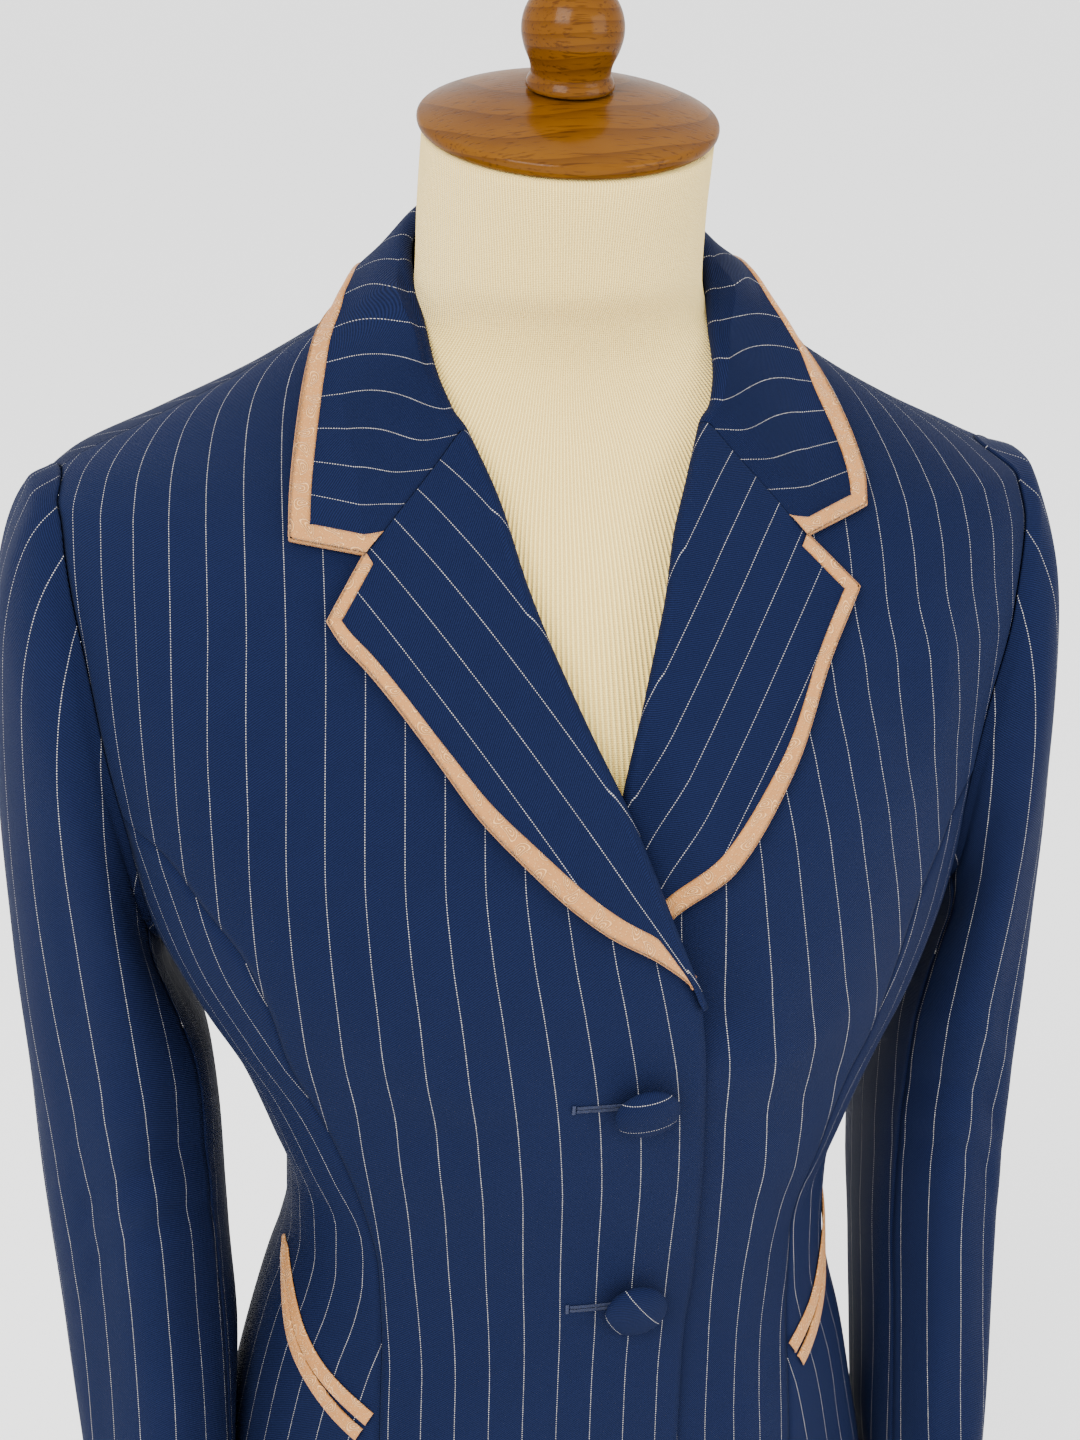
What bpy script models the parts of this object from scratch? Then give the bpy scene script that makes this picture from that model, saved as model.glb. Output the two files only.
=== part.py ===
"""Showmanship suit jacket in navy pinstripe, buttoned on a limbless dress form with a turned wood stand.

Metres, +Z up, origin on the floor under the pole.  -Y is the front, and the wearer's right is at -X.
Heights in the tables are levels above the waist.  Every jacket piece is a thin wall on one body shape,
which is a stack of squared ovals, so that pieces that share a seam share its points.
"""

import math

import bpy
import mathutils
import numpy as np
from mathutils.bvhtree import BVHTree

# ---------------------------------------------------------------- driving dimensions

WAIST_HEIGHT = 0.500        # waist of the jacket above the floor
WALL = 0.0018               # cloth wall of a body or sleeve panel
LAPEL_WALL = 0.0016         # cloth wall of the lapels and collar
LAPEL_REST = 0.0012         # air under a lapel or the collar's fall
TRIM_WALL = 0.0010          # satin binding and pocket welts
GAP = 0.0004                # air between pieces that touch
NECK_GAP = 0.0028           # and between the neck edges of the panels and the collar's stand
ROLL_GAP = 0.0011           # and between the end of a roll and the cloth it is cut on with
SEAM_GAP = 0.00040          # what each piece gives up at a seam
RIDGE_GAP = 0.00100         # and at the shoulder seam, which lies on a ridge
BINDING_WIDTH = 0.0082
ROLL_RADIUS = 0.0030        # outer radius of the lapel and collar roll
ROLL_RADIUS_AT_BREAK = 0.0018
ROLL_SETTLE = 0.045         # distance in which a rolled lapel comes down to the front
WELT_WIDTH_AT_SEAM = 0.0072
WELT_WIDTH_AT_SIDE = 0.0046
WELT_LIFT = 0.0008
BUTTON_RADIUS = 0.0130
BUTTON_HEIGHT = 0.0078
BUTTON_SHANK_RADIUS = 0.0045
CAP_RADIUS = 0.0580
CAP_LEVEL = 0.467
CAP_UNDERSIDE = 0.0056
CAP_RISE = 0.0115
CAP_TILT = math.radians(10.0)    # the neck is cut sloping down to the front
POLE_RADIUS = 0.0160
BASE_RADIUS = 0.150
BASE_HEIGHT = 0.028

SEAM_ROWS = 14              # rows from the hem to the armhole
FRONT_ARM_ROWS = 10         # rows round the front of the armhole
BACK_ARM_ROWS = 10
SIDE_COLUMNS = 10           # columns of a side panel, and of the armhole's underside
FRONT_COLUMNS = 8
NECK_COLUMNS = 4            # columns of a back panel along the neckline
SLEEVE_RINGS = 13

# Body shape of the worn jacket, one row per level:
# level, right half width, left half width, front, back, y of the sides, right squareness, left squareness.
BODY = np.array((
    (-0.210, 0.1555, 0.1540, 0.1280, 0.118, -0.003, 2.30, 2.30),
    (-0.150, 0.1500, 0.1480, 0.1220, 0.112, -0.005, 2.30, 2.30),
    (-0.100, 0.1430, 0.1390, 0.1170, 0.101, -0.008, 2.30, 2.25),
    (-0.060, 0.1350, 0.1310, 0.1140, 0.089, -0.010, 2.30, 2.25),
    (-0.030, 0.1270, 0.1235, 0.1120, 0.081, -0.012, 2.30, 2.20),
    (-0.010, 0.1205, 0.1190, 0.1110, 0.076, -0.014, 2.30, 2.20),
    (0.010, 0.1165, 0.1175, 0.1115, 0.074, -0.015, 2.30, 2.20),
    (0.030, 0.1165, 0.1180, 0.1130, 0.074, -0.015, 2.30, 2.20),
    (0.060, 0.1255, 0.1270, 0.1180, 0.076, -0.013, 2.35, 2.20),
    (0.090, 0.1370, 0.1400, 0.1240, 0.080, -0.011, 2.40, 2.12),
    (0.120, 0.1540, 0.1550, 0.1300, 0.086, -0.008, 2.45, 2.05),
    (0.160, 0.1730, 0.1680, 0.1340, 0.093, -0.004, 2.55, 2.05),
    (0.200, 0.1840, 0.1750, 0.1300, 0.098, 0.000, 2.70, 2.12),
    (0.240, 0.1940, 0.1830, 0.1190, 0.100, 0.003, 2.90, 2.30),
    (0.280, 0.2020, 0.1910, 0.1020, 0.099, 0.006, 2.95, 2.55),
    (0.310, 0.2060, 0.1955, 0.0860, 0.095, 0.009, 2.70, 2.50),
    (0.325, 0.2050, 0.1920, 0.0760, 0.092, 0.011, 2.45, 2.35),
    (0.335, 0.1960, 0.1735, 0.0690, 0.090, 0.012, 2.30, 2.25),
    (0.350, 0.1640, 0.1420, 0.0570, 0.087, 0.012, 2.15, 2.10),
    (0.365, 0.1310, 0.1150, 0.0455, 0.083, 0.012, 2.05, 2.05),
    (0.380, 0.1030, 0.0930, 0.0380, 0.080, 0.012, 2.00, 2.00),
    (0.393, 0.0825, 0.0785, 0.0345, 0.077, 0.012, 2.00, 2.00),
    (0.410, 0.0700, 0.0700, 0.0340, 0.074, 0.012, 2.00, 2.00),
    (0.440, 0.0660, 0.0660, 0.0400, 0.072, 0.010, 2.00, 2.00),
))

# Dress form, in the same columns.  It carries the jacket along both shoulders and is clear elsewhere.
FORM = np.array((
    (-0.245, 0.1380, 0.1370, 0.1120, 0.1010, -0.003, 2.15, 2.15),
    (-0.210, 0.1420, 0.1410, 0.1140, 0.1040, -0.004, 2.15, 2.15),
    (-0.150, 0.1400, 0.1380, 0.1110, 0.1010, -0.006, 2.15, 2.15),
    (-0.100, 0.1330, 0.1290, 0.1060, 0.0910, -0.009, 2.15, 2.15),
    (-0.060, 0.1250, 0.1210, 0.1030, 0.0790, -0.011, 2.15, 2.15),
    (-0.030, 0.1160, 0.1130, 0.1010, 0.0710, -0.013, 2.15, 2.10),
    (0.000, 0.1070, 0.1075, 0.1000, 0.0650, -0.015, 2.15, 2.10),
    (0.030, 0.1070, 0.1080, 0.1010, 0.0640, -0.015, 2.15, 2.10),
    (0.060, 0.1160, 0.1170, 0.1060, 0.0660, -0.014, 2.15, 2.10),
    (0.090, 0.1280, 0.1290, 0.1120, 0.0700, -0.011, 2.15, 2.00),
    (0.120, 0.1430, 0.1430, 0.1180, 0.0760, -0.008, 2.20, 2.00),
    (0.160, 0.1600, 0.1550, 0.1215, 0.0830, -0.004, 2.20, 2.00),
    (0.200, 0.1710, 0.1620, 0.1180, 0.0880, 0.000, 2.30, 2.05),
    (0.240, 0.1800, 0.1700, 0.1080, 0.0900, 0.003, 2.40, 2.15),
    (0.280, 0.1850, 0.1770, 0.0910, 0.0890, 0.006, 2.40, 2.25),
    (0.310, 0.1830, 0.1750, 0.0755, 0.0850, 0.009, 2.30, 2.20),
    (0.335, 0.1740, 0.1560, 0.0590, 0.0800, 0.012, 2.10, 2.10),
    (0.350, 0.1567, 0.1360, 0.0500, 0.0760, 0.012, 1.95, 1.95),
    (0.365, 0.1240, 0.1092, 0.0385, 0.0710, 0.012, 1.80, 1.80),
    (0.380, 0.0830, 0.0800, 0.0330, 0.0640, 0.009, 1.80, 1.80),
    (0.393, 0.0580, 0.0580, 0.0360, 0.0550, 0.004, 1.90, 1.90),
    (0.410, 0.0535, 0.0535, 0.0475, 0.0540, 0.000, 2.00, 2.00),
    (0.461, 0.0560, 0.0560, 0.0560, 0.0560, 0.000, 2.00, 2.00),
))

# Front lines as the photo shows them: x and level on the body.
FRONT_EDGE = (
    (0.0200, -0.2100), (0.0320, -0.1980), (0.0345, -0.1700), (0.0350, -0.1100), (0.0364, -0.0415),
    (0.0382, -0.0065), (0.0407, 0.0150), (0.0409, 0.0431), (0.0404, 0.0773), (0.0384, 0.1060),
    (0.0362, 0.1330), (0.0334, 0.1517),
)
CLOSING_X = 0.0135          # the two front edges lie evenly to each side of this line
ROLL_LINE = {
    "right": (
        (0.0334, 0.1517), (0.0163, 0.1915), (0.0012, 0.2295), (-0.0144, 0.2630),
        (-0.0264, 0.2915), (-0.0318, 0.3065), (-0.0408, 0.3380), (-0.0487, 0.3565),
    ),
    "left": (
        (-0.0110, 0.1517), (-0.0025, 0.1915), (0.0060, 0.2270), (0.0124, 0.2555),
        (0.0225, 0.2895), (0.0256, 0.2990), (0.0328, 0.3250), (0.0398, 0.3410), (0.0470, 0.3565),
    ),
}
NOTCH = {"right": (-0.0873, 0.3195), "left": (0.0800, 0.3200)}
LAPEL_EDGE = {
    "right": (
        (0.0316, 0.1552), (0.0278, 0.1632), (0.0158, 0.1722), (-0.0106, 0.1902), (-0.0408, 0.2166),
        (-0.0712, 0.2566), (-0.0978, 0.2868), (-0.1025, 0.2983),
    ),
    "left": (
        (-0.0092, 0.1552), (-0.0060, 0.1640), (0.0040, 0.1760), (0.0204, 0.1880), (0.0472, 0.2103),
        (0.0681, 0.2411), (0.0866, 0.2817), (0.0988, 0.3019),
    ),
}
PRINCESS_SEAM = {
    "right": (
        (-0.0960, -0.2100), (-0.0890, -0.1000), (-0.0865, -0.0433), (-0.0855, 0.0033), (-0.0881, 0.0287),
        (-0.0965, 0.0613), (-0.1041, 0.0811), (-0.1226, 0.1229), (-0.1289, 0.1469), (-0.1398, 0.1725),
        (-0.1506, 0.1855), (-0.1700, 0.2080),
    ),
    "left": (
        (0.0960, -0.2100), (0.0910, -0.1000), (0.0895, -0.0433), (0.0890, 0.0033), (0.0910, 0.0287),
        (0.0985, 0.0613), (0.1050, 0.0811), (0.1190, 0.1229), (0.1250, 0.1469), (0.1335, 0.1725),
        (0.1425, 0.1880), (0.1560, 0.2080),
    ),
}
SIDE_BACK_SEAM = {
    "right": (
        (-0.1130, -0.2100), (-0.1000, -0.1300), (-0.0880, -0.0600), (-0.0800, 0.0000), (-0.0830, 0.0350),
        (-0.0970, 0.0800), (-0.1150, 0.1250), (-0.1360, 0.1700),
    ),
    "left": (
        (0.1130, -0.2100), (0.1000, -0.1300), (0.0880, -0.0600), (0.0800, 0.0000), (0.0830, 0.0350),
        (0.0930, 0.0800), (0.1060, 0.1250), (0.1210, 0.1700),
    ),
}
NECKLINE_SIDE_LEVEL = 0.393
NAPE_LEVEL = 0.398
SHOULDER_SEAM_TURN = math.radians(94.0)

# Armhole, an oval in the side view, measured from its top round the front.
ARMHOLE_CENTRE_Y = 0.006
ARMHOLE_CENTRE_LEVEL = 0.2350
ARMHOLE_HALF_DEPTH = 0.060
ARMHOLE_HALF_HEIGHT = 0.0990
PRINCESS_ANGLE = math.radians(104.0)
SIDE_BACK_ANGLE = math.radians(254.0)

# Collar: where it rolls (x, y, level), from the gorge to the centre back, and its outer edge in plan.
COLLAR_ROLL = (
    (0.0465, -0.0480, 0.3573), (0.0535, -0.0345, 0.3750), (0.0598, -0.0160, 0.3935), (0.0628, 0.0040, 0.4085),
    (0.0605, 0.0260, 0.4195), (0.0500, 0.0450, 0.4275), (0.0275, 0.0600, 0.4320), (0.0000, 0.0650, 0.4330),
)
COLLAR_EDGE = {
    "right": (
        (0.1146, -0.0675), (0.1133, -0.0564), (0.1096, -0.0396), (0.1022, -0.0189), (0.0900, 0.0039),
        (0.0765, 0.0260), (0.0640, 0.0470), (0.0480, 0.0655), (0.0255, 0.0775), (0.0000, 0.0810),
    ),
    "left": (
        (0.1058, -0.0635), (0.1069, -0.0560), (0.1066, -0.0442), (0.1020, -0.0291), (0.0935, -0.0130),
        (0.0832, 0.0090), (0.0655, 0.0425), (0.0480, 0.0650), (0.0255, 0.0775), (0.0000, 0.0810),
    ),
}
COLLAR_ROWS = 16            # rows of the collar from the gorge to the centre back
COLLAR_SETTLE = 0.30        # part of the half collar that lies flat on the front

# Sleeves, one row per ring from the armhole to the cuff; x is away from the body's middle:
# outer level, right outer x, left outer x, inner level, right inner x, left inner x, y of the centre,
# half depth, squareness.
SLEEVES = np.array((
    (0.3340, 0.2045, 0.1850, 0.1360, 0.1670, 0.1640, 0.0060, 0.0600, 2.00),
    (0.3270, 0.2135, 0.1910, 0.1335, 0.1680, 0.1655, 0.0060, 0.0620, 2.05),
    (0.3100, 0.2210, 0.2000, 0.1290, 0.1680, 0.1660, 0.0062, 0.0635, 2.10),
    (0.2800, 0.2260, 0.2045, 0.1220, 0.1655, 0.1640, 0.0068, 0.0645, 2.15),
    (0.2350, 0.2275, 0.2065, 0.1120, 0.1600, 0.1590, 0.0075, 0.0645, 2.20),
    (0.1900, 0.2270, 0.2065, 0.1000, 0.1540, 0.1545, 0.0080, 0.0640, 2.25),
    (0.1400, 0.2245, 0.2055, 0.0820, 0.1480, 0.1500, 0.0075, 0.0630, 2.30),
    (0.0900, 0.2210, 0.2050, 0.0560, 0.1455, 0.1475, 0.0065, 0.0605, 2.30),
    (0.0400, 0.2180, 0.2035, 0.0250, 0.1440, 0.1460, 0.0045, 0.0580, 2.30),
    (-0.0050, 0.2145, 0.2015, -0.0130, 0.1425, 0.1460, 0.0010, 0.0555, 2.30),
    (-0.0500, 0.2105, 0.1995, -0.0540, 0.1410, 0.1475, -0.0060, 0.0535, 2.30),
    (-0.1000, 0.2070, 0.1975, -0.1020, 0.1420, 0.1485, -0.0150, 0.0515, 2.30),
    (-0.1500, 0.2045, 0.1955, -0.1510, 0.1450, 0.1485, -0.0245, 0.0495, 2.25),
    (-0.2000, 0.2025, 0.1935, -0.2005, 0.1485, 0.1480, -0.0340, 0.0475, 2.20),
    (-0.2480, 0.2010, 0.1915, -0.2480, 0.1500, 0.1475, -0.0420, 0.0460, 2.20),
))
FRONT_SLEEVE_SEAM = 12      # armhole points from the top to the sleeve's front seam
BACK_SLEEVE_SEAM = 8        # and to its hind seam

SLEEVE_AIR = 0.0040         # least distance of a hanging sleeve's skin from the side of the jacket

# Soft long folds of the sleeves: turn from the top round the front, level, depth, and reach each way.
SLEEVE_FOLDS = {
    "right": (
        (math.radians(62), 0.020, -0.0045, math.radians(20), 0.095),
        (math.radians(92), -0.045, 0.0035, math.radians(18), 0.120),
        (math.radians(34), 0.120, 0.0030, math.radians(20), 0.090),
        (math.radians(262), 0.050, -0.0040, math.radians(24), 0.110),
        (math.radians(120), 0.075, -0.0030, math.radians(22), 0.060),
    ),
    "left": (
        (math.radians(74), 0.070, -0.0045, math.radians(22), 0.100),
        (math.radians(50), -0.060, 0.0030, math.radians(20), 0.120),
        (math.radians(100), -0.030, 0.0035, math.radians(18), 0.090),
        (math.radians(270), 0.020, -0.0040, math.radians(24), 0.120),
        (math.radians(28), 0.150, 0.0025, math.radians(24), 0.080),
    ),
}

# Slits of the two pockets: turn round the body and level, from the side to the princess seam.
POCKET_LINE = {
    "right": (
        (-86.0, -0.0020), (-79.5, -0.0105), (-73.6, -0.0200), (-67.5, -0.0300), (-61.5, -0.0385),
        (-55.5, -0.0455), (-51.0, -0.0510),
    ),
    "left": (
        (86.0, 0.0060), (79.5, -0.0025), (73.6, -0.0120), (67.5, -0.0220), (61.5, -0.0305),
        (55.5, -0.0375), (51.5, -0.0420),
    ),
}

BUTTONS = {"button_upper": (0.0132, 0.1100), "button_lower": (0.0152, 0.0087)}

NAVY = (0.012, 0.022, 0.085)
BLUSH = (0.62, 0.36, 0.27)
JERSEY = (0.80, 0.72, 0.57)
WOOD = (0.36, 0.14, 0.035)


# ---------------------------------------------------------------- scene

for old in list(bpy.data.objects):
    bpy.data.objects.remove(old, do_unlink=True)

jacket_collection = bpy.data.collections.new("showmanship_suit_jacket")
bpy.context.scene.collection.children.link(jacket_collection)


def make_material(name, colour, roughness):
    material = bpy.data.materials.new(name)
    material.use_nodes = True
    shader = material.node_tree.nodes["Principled BSDF"]
    shader.inputs["Base Color"].default_value = (*colour, 1.0)
    shader.inputs["Roughness"].default_value = roughness
    shader.inputs["Metallic"].default_value = 0.0
    return material


def add_object(name, mesh, colour, roughness):
    mesh.materials.append(make_material(name, colour, roughness))
    mesh.shade_smooth()
    made = bpy.data.objects.new(name, mesh)
    jacket_collection.objects.link(made)
    return made


# ---------------------------------------------------------------- curves and tables

def ease(value):
    """0 below 0, 1 above 1, and a smooth step between."""
    value = np.clip(value, 0.0, 1.0)
    return value * value * (3.0 - 2.0 * value)


def look_up(table, column, at):
    """Column of a table at any value of its first column, smooth and without overshoot."""
    rising = table if table[0, 0] < table[-1, 0] else table[::-1]
    keys = rising[:, 0]
    values = rising[:, column]
    step = np.diff(keys)
    slope = np.diff(values) / step
    before, after = slope[:-1], slope[1:]
    before_weight = 2.0 * step[1:] + step[:-1]
    after_weight = step[1:] + 2.0 * step[:-1]
    same_way = before * after > 0.0
    safe_before = np.where(same_way, before, 1.0)
    safe_after = np.where(same_way, after, 1.0)
    mean = (before_weight + after_weight) / (before_weight / safe_before + after_weight / safe_after)
    tangent = np.concatenate(([slope[0]], np.where(same_way, mean, 0.0), [slope[-1]]))
    at = np.clip(at, keys[0], keys[-1])
    cell = np.clip(np.searchsorted(keys, at, side="right") - 1, 0, len(step) - 1)
    part = (at - keys[cell]) / step[cell]
    rest = 1.0 - part
    return (
        values[cell] * (1.0 + 2.0 * part) * rest**2
        + values[cell + 1] * part**2 * (3.0 - 2.0 * part)
        + step[cell] * part * rest * (tangent[cell] * rest - tangent[cell + 1] * part)
    )


def smooth_line(rows, count):
    """count + 1 evenly spaced points of a smooth curve through the rows."""
    rows = np.asarray(rows, float)
    length = np.concatenate(([0.0], np.cumsum(np.linalg.norm(np.diff(rows, axis=0), axis=1))))
    tangents = np.gradient(rows, length, axis=0)
    fine = np.linspace(0.0, length[-1], 400)
    cell = np.clip(np.searchsorted(length, fine, side="right") - 1, 0, len(rows) - 2)
    step = np.diff(length)[cell][:, None]
    part = (fine[:, None] - length[cell][:, None]) / step
    rest = 1.0 - part
    dense = (
        rows[cell] * (1.0 + 2.0 * part) * rest**2
        + rows[cell + 1] * part**2 * (3.0 - 2.0 * part)
        + step * part * rest * (tangents[cell] * rest - tangents[cell + 1] * part)
    )
    return even_points(dense, count)


def even_points(dense, count):
    run = np.concatenate(([0.0], np.cumsum(np.linalg.norm(np.diff(dense, axis=0), axis=1))))
    wanted = np.linspace(0.0, run[-1], count + 1)
    return np.stack([np.interp(wanted, run, dense[:, axis]) for axis in range(dense.shape[1])], axis=-1)


def straight(start, end, count):
    part = np.linspace(0.0, 1.0, count + 1)[:, None]
    return np.asarray(start) * (1.0 - part) + np.asarray(end) * part


# ---------------------------------------------------------------- the body shape

def sizes(table, turn, level):
    """Half width, depth towards this turn, y of the sides and squareness, at points of a body table."""
    on_right = np.sin(turn) < 0.0
    side_y = look_up(table, 5, level)
    half = np.where(on_right, look_up(table, 1, level), look_up(table, 2, level))
    square = np.where(on_right, look_up(table, 6, level), look_up(table, 7, level))
    depth = np.where(np.cos(turn) > 0.0, look_up(table, 3, level) + side_y, look_up(table, 4, level) - side_y)
    return half, depth, side_y, square


def place(table, turn, level):
    """Point of a body at a turn about +Z (0 at the front, + to the wearer's left) and a level."""
    turn, level = np.broadcast_arrays(np.asarray(turn, float), np.asarray(level, float))
    half, depth, side_y, square = sizes(table, turn, level)
    reach = (np.abs(np.sin(turn) / half) ** square + np.abs(np.cos(turn) / depth) ** square) ** (-1.0 / square)
    return np.stack([reach * np.sin(turn), side_y - reach * np.cos(turn), level], axis=-1)


def unit(vectors):
    return vectors / np.linalg.norm(vectors, axis=-1, keepdims=True)


def body_normal(turn, level):
    nudge_turn, nudge_level = 0.02, 0.003
    across = place(BODY, turn + nudge_turn, level) - place(BODY, turn - nudge_turn, level)
    up = place(BODY, turn, level + nudge_level) - place(BODY, turn, level - nudge_level)
    return unit(np.cross(across, up))


def skin(turn, level, out=0.0):
    """Point of the jacket's body, moved out along its normal."""
    point = place(BODY, turn, level)
    return point + body_normal(turn, level) * np.asarray(out)[..., None]


def turn_at_x(x, level, back=False):
    """Turn of the body point at this x and level, on the front or the back."""
    x, level = np.broadcast_arrays(np.asarray(x, float), np.asarray(level, float))
    sideways = np.sign(x) * (math.pi / 2.0 + 0.4 if back else math.pi / 2.0 - 0.4)
    half, depth, side_y, square = sizes(BODY, sideways, level)
    reach = depth * (1.0 - np.clip(np.abs(x) / half, 0.0, 1.0) ** square) ** (1.0 / square)
    return np.arctan2(x, -reach if back else reach)


def on_front(points):
    points = np.asarray(points, float)
    return np.stack([turn_at_x(points[:, 0], points[:, 1]), points[:, 1]], axis=-1)


def on_back(points):
    points = np.asarray(points, float)
    return np.stack([turn_at_x(points[:, 0], points[:, 1], back=True), points[:, 1]], axis=-1)


def level_in_plan(x, y):
    """Level at which the body's section passes through x, y, between the bust and the neck."""
    low, high = np.full(np.shape(x), 0.20), np.full(np.shape(x), 0.43)
    for _ in range(40):
        middle = (low + high) / 2.0
        side_y = look_up(BODY, 5, middle)
        turn = np.arctan2(x, side_y - y)
        reach = np.linalg.norm(place(BODY, turn, middle)[..., :2] - np.stack([0.0 * x, side_y], -1), axis=-1)
        inside = np.hypot(x, y - side_y) < reach
        low, high = np.where(inside, middle, low), np.where(inside, high, middle)
    return (low + high) / 2.0


def armhole(side, angles):
    """Turn and level of armhole points, by their angle from the top round the front."""
    sign = -1.0 if side == "right" else 1.0
    y = ARMHOLE_CENTRE_Y - ARMHOLE_HALF_DEPTH * np.sin(angles)
    level = ARMHOLE_CENTRE_LEVEL + ARMHOLE_HALF_HEIGHT * np.cos(angles)
    side_turn = np.full_like(y, sign * math.pi / 2.0)
    half, _, side_y, square = sizes(BODY, side_turn, level)
    depth = np.where(y < side_y, look_up(BODY, 3, level) + side_y, look_up(BODY, 4, level) - side_y)
    x = half * (1.0 - (np.abs(y - side_y) / depth) ** square) ** (1.0 / square)
    return np.stack([np.arctan2(sign * x, side_y - y), level], axis=-1)


# ---------------------------------------------------------------- panels of the body

def patch(start, end, low, high):
    """Grid of domain points between four curves: two side curves (rows) and the lowest and highest rows."""
    across = np.linspace(0.0, 1.0, len(low))[None, :, None]
    up = np.linspace(0.0, 1.0, len(start))[:, None, None]
    ruled = start[:, None] * (1.0 - across) + end[:, None] * across
    stacked = low[None] * (1.0 - up) + high[None] * up
    corners = (
        low[0] * (1.0 - across) * (1.0 - up) + low[-1] * across * (1.0 - up)
        + high[0] * (1.0 - across) * up + high[-1] * across * up
    )
    return ruled + stacked - corners


def trimmed(points, amount, edges="lrbt"):
    """The grid with its named edges (l, r: first and last column; b, t: first and last row) drawn in."""
    points = points.copy()
    moves = {"l": (np.s_[:, 0], np.s_[:, 1]), "r": (np.s_[:, -1], np.s_[:, -2]),
             "b": (np.s_[0, :], np.s_[1, :]), "t": (np.s_[-1, :], np.s_[-2, :])}
    shift = np.zeros_like(points)
    for edge in edges:
        outer, inner = moves[edge]
        shift[outer] += unit(points[inner] - points[outer]) * amount
    return points + shift


def grid_mesh(name, points, flip=False, keep=None):
    """Open mesh of a grid of points, or of those of its cells that keep(row, column) allows."""
    rows, columns = points.shape[:2]
    faces = []
    for row in range(rows - 1):
        for column in range(columns - 1):
            if keep and not keep(row, column):
                continue
            corner = row * columns + column
            face = (corner, corner + 1, corner + columns + 1, corner + columns)
            faces.append(face[::-1] if flip else face)
    used = sorted({index for face in faces for index in face})
    new_index = {old_index: index for index, old_index in enumerate(used)}
    flat = points.reshape(-1, 3) + np.array((0.0, 0.0, WAIST_HEIGHT))
    mesh = bpy.data.meshes.new(name)
    mesh.from_pydata(
        [tuple(flat[index]) for index in used], [], [tuple(new_index[index] for index in face) for face in faces]
    )
    return mesh


def add_wall(name, points, wall, colour, roughness, flip=False, keep=None, outwards=False):
    """A cloth wall on a grid of points; the points are its outer skin, or its under side if outwards."""
    made = add_object(name, grid_mesh(name, points, flip, keep), colour, roughness)
    solid = made.modifiers.new("wall", "SOLIDIFY")
    solid.thickness = wall
    solid.offset = 1.0 if outwards else -1.0
    return made


TOP_CROWDING = 1.35         # armhole points crowd towards the shoulder, where the cloth turns over a ridge
FRONT_ARM_ANGLES = PRINCESS_ANGLE * np.linspace(0.0, 1.0, FRONT_ARM_ROWS + 1) ** TOP_CROWDING
UNDER_ARM_ANGLES = np.linspace(PRINCESS_ANGLE, SIDE_BACK_ANGLE, SIDE_COLUMNS + 1)
BACK_ARM_ANGLES = 2.0 * math.pi - (2.0 * math.pi - SIDE_BACK_ANGLE) * (
    np.linspace(1.0, 0.0, BACK_ARM_ROWS + 1) ** TOP_CROWDING
)


def tuck(x, level):
    """How far the wearer's left front goes under the right one."""
    edge = np.asarray(ROLL_LINE["right"] + FRONT_EDGE[::-1][1:])
    edge = edge[np.argsort(edge[:, 1])]
    beyond = x - np.interp(level, edge[:, 1], edge[:, 0])
    lapel_stack = WALL + LAPEL_WALL + TRIM_WALL + LAPEL_REST + 6.0 * GAP
    depth = WALL + 3.0 * GAP + (lapel_stack - WALL) * ease((level - 0.118) / 0.030)
    return -depth * (1.0 - ease((beyond - 0.006) / 0.028))


def layer(side, domain):
    """Height of the front's skin over the body shape."""
    if side == "right":
        return np.zeros(domain.shape[:-1])
    return tuck(place(BODY, domain[..., 0], domain[..., 1])[..., 0], domain[..., 1])


FRONT_EDGE_ROWS = 9
ROLL_ROWS = 12
FRONT_NECK_ROWS = SEAM_ROWS + FRONT_ARM_ROWS - FRONT_EDGE_ROWS - ROLL_ROWS


def front_edge(side):
    points = np.array(FRONT_EDGE)
    if side == "left":
        points[:, 0] = 2.0 * CLOSING_X - points[:, 0]
        points[-1] = ROLL_LINE["left"][0]
    return on_front(smooth_line(points, FRONT_EDGE_ROWS))


def roll_line(side):
    return on_front(smooth_line(ROLL_LINE[side], ROLL_ROWS))


def princess_seam(side):
    top = armhole(side, np.array([PRINCESS_ANGLE]))
    top_x = place(BODY, top[:, 0], top[:, 1])[0, 0]
    line = on_front(smooth_line(PRINCESS_SEAM[side] + ((top_x, top[0, 1]),), SEAM_ROWS))
    line[-1] = top[0]
    return line


def side_back_seam(side):
    top = armhole(side, np.array([SIDE_BACK_ANGLE]))
    top_x = place(BODY, top[:, 0], top[:, 1])[0, 0]
    line = on_back(smooth_line(SIDE_BACK_SEAM[side] + ((top_x, top[0, 1]),), SEAM_ROWS))
    line[-1] = top[0]
    return line


def shoulder_points(side):
    """Shoulder seam from the neck to the armhole."""
    sign = -1.0 if side == "right" else 1.0
    neck = (sign * SHOULDER_SEAM_TURN, NECKLINE_SIDE_LEVEL)
    return straight(neck, armhole(side, np.array([0.0]))[0], FRONT_COLUMNS)


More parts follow.
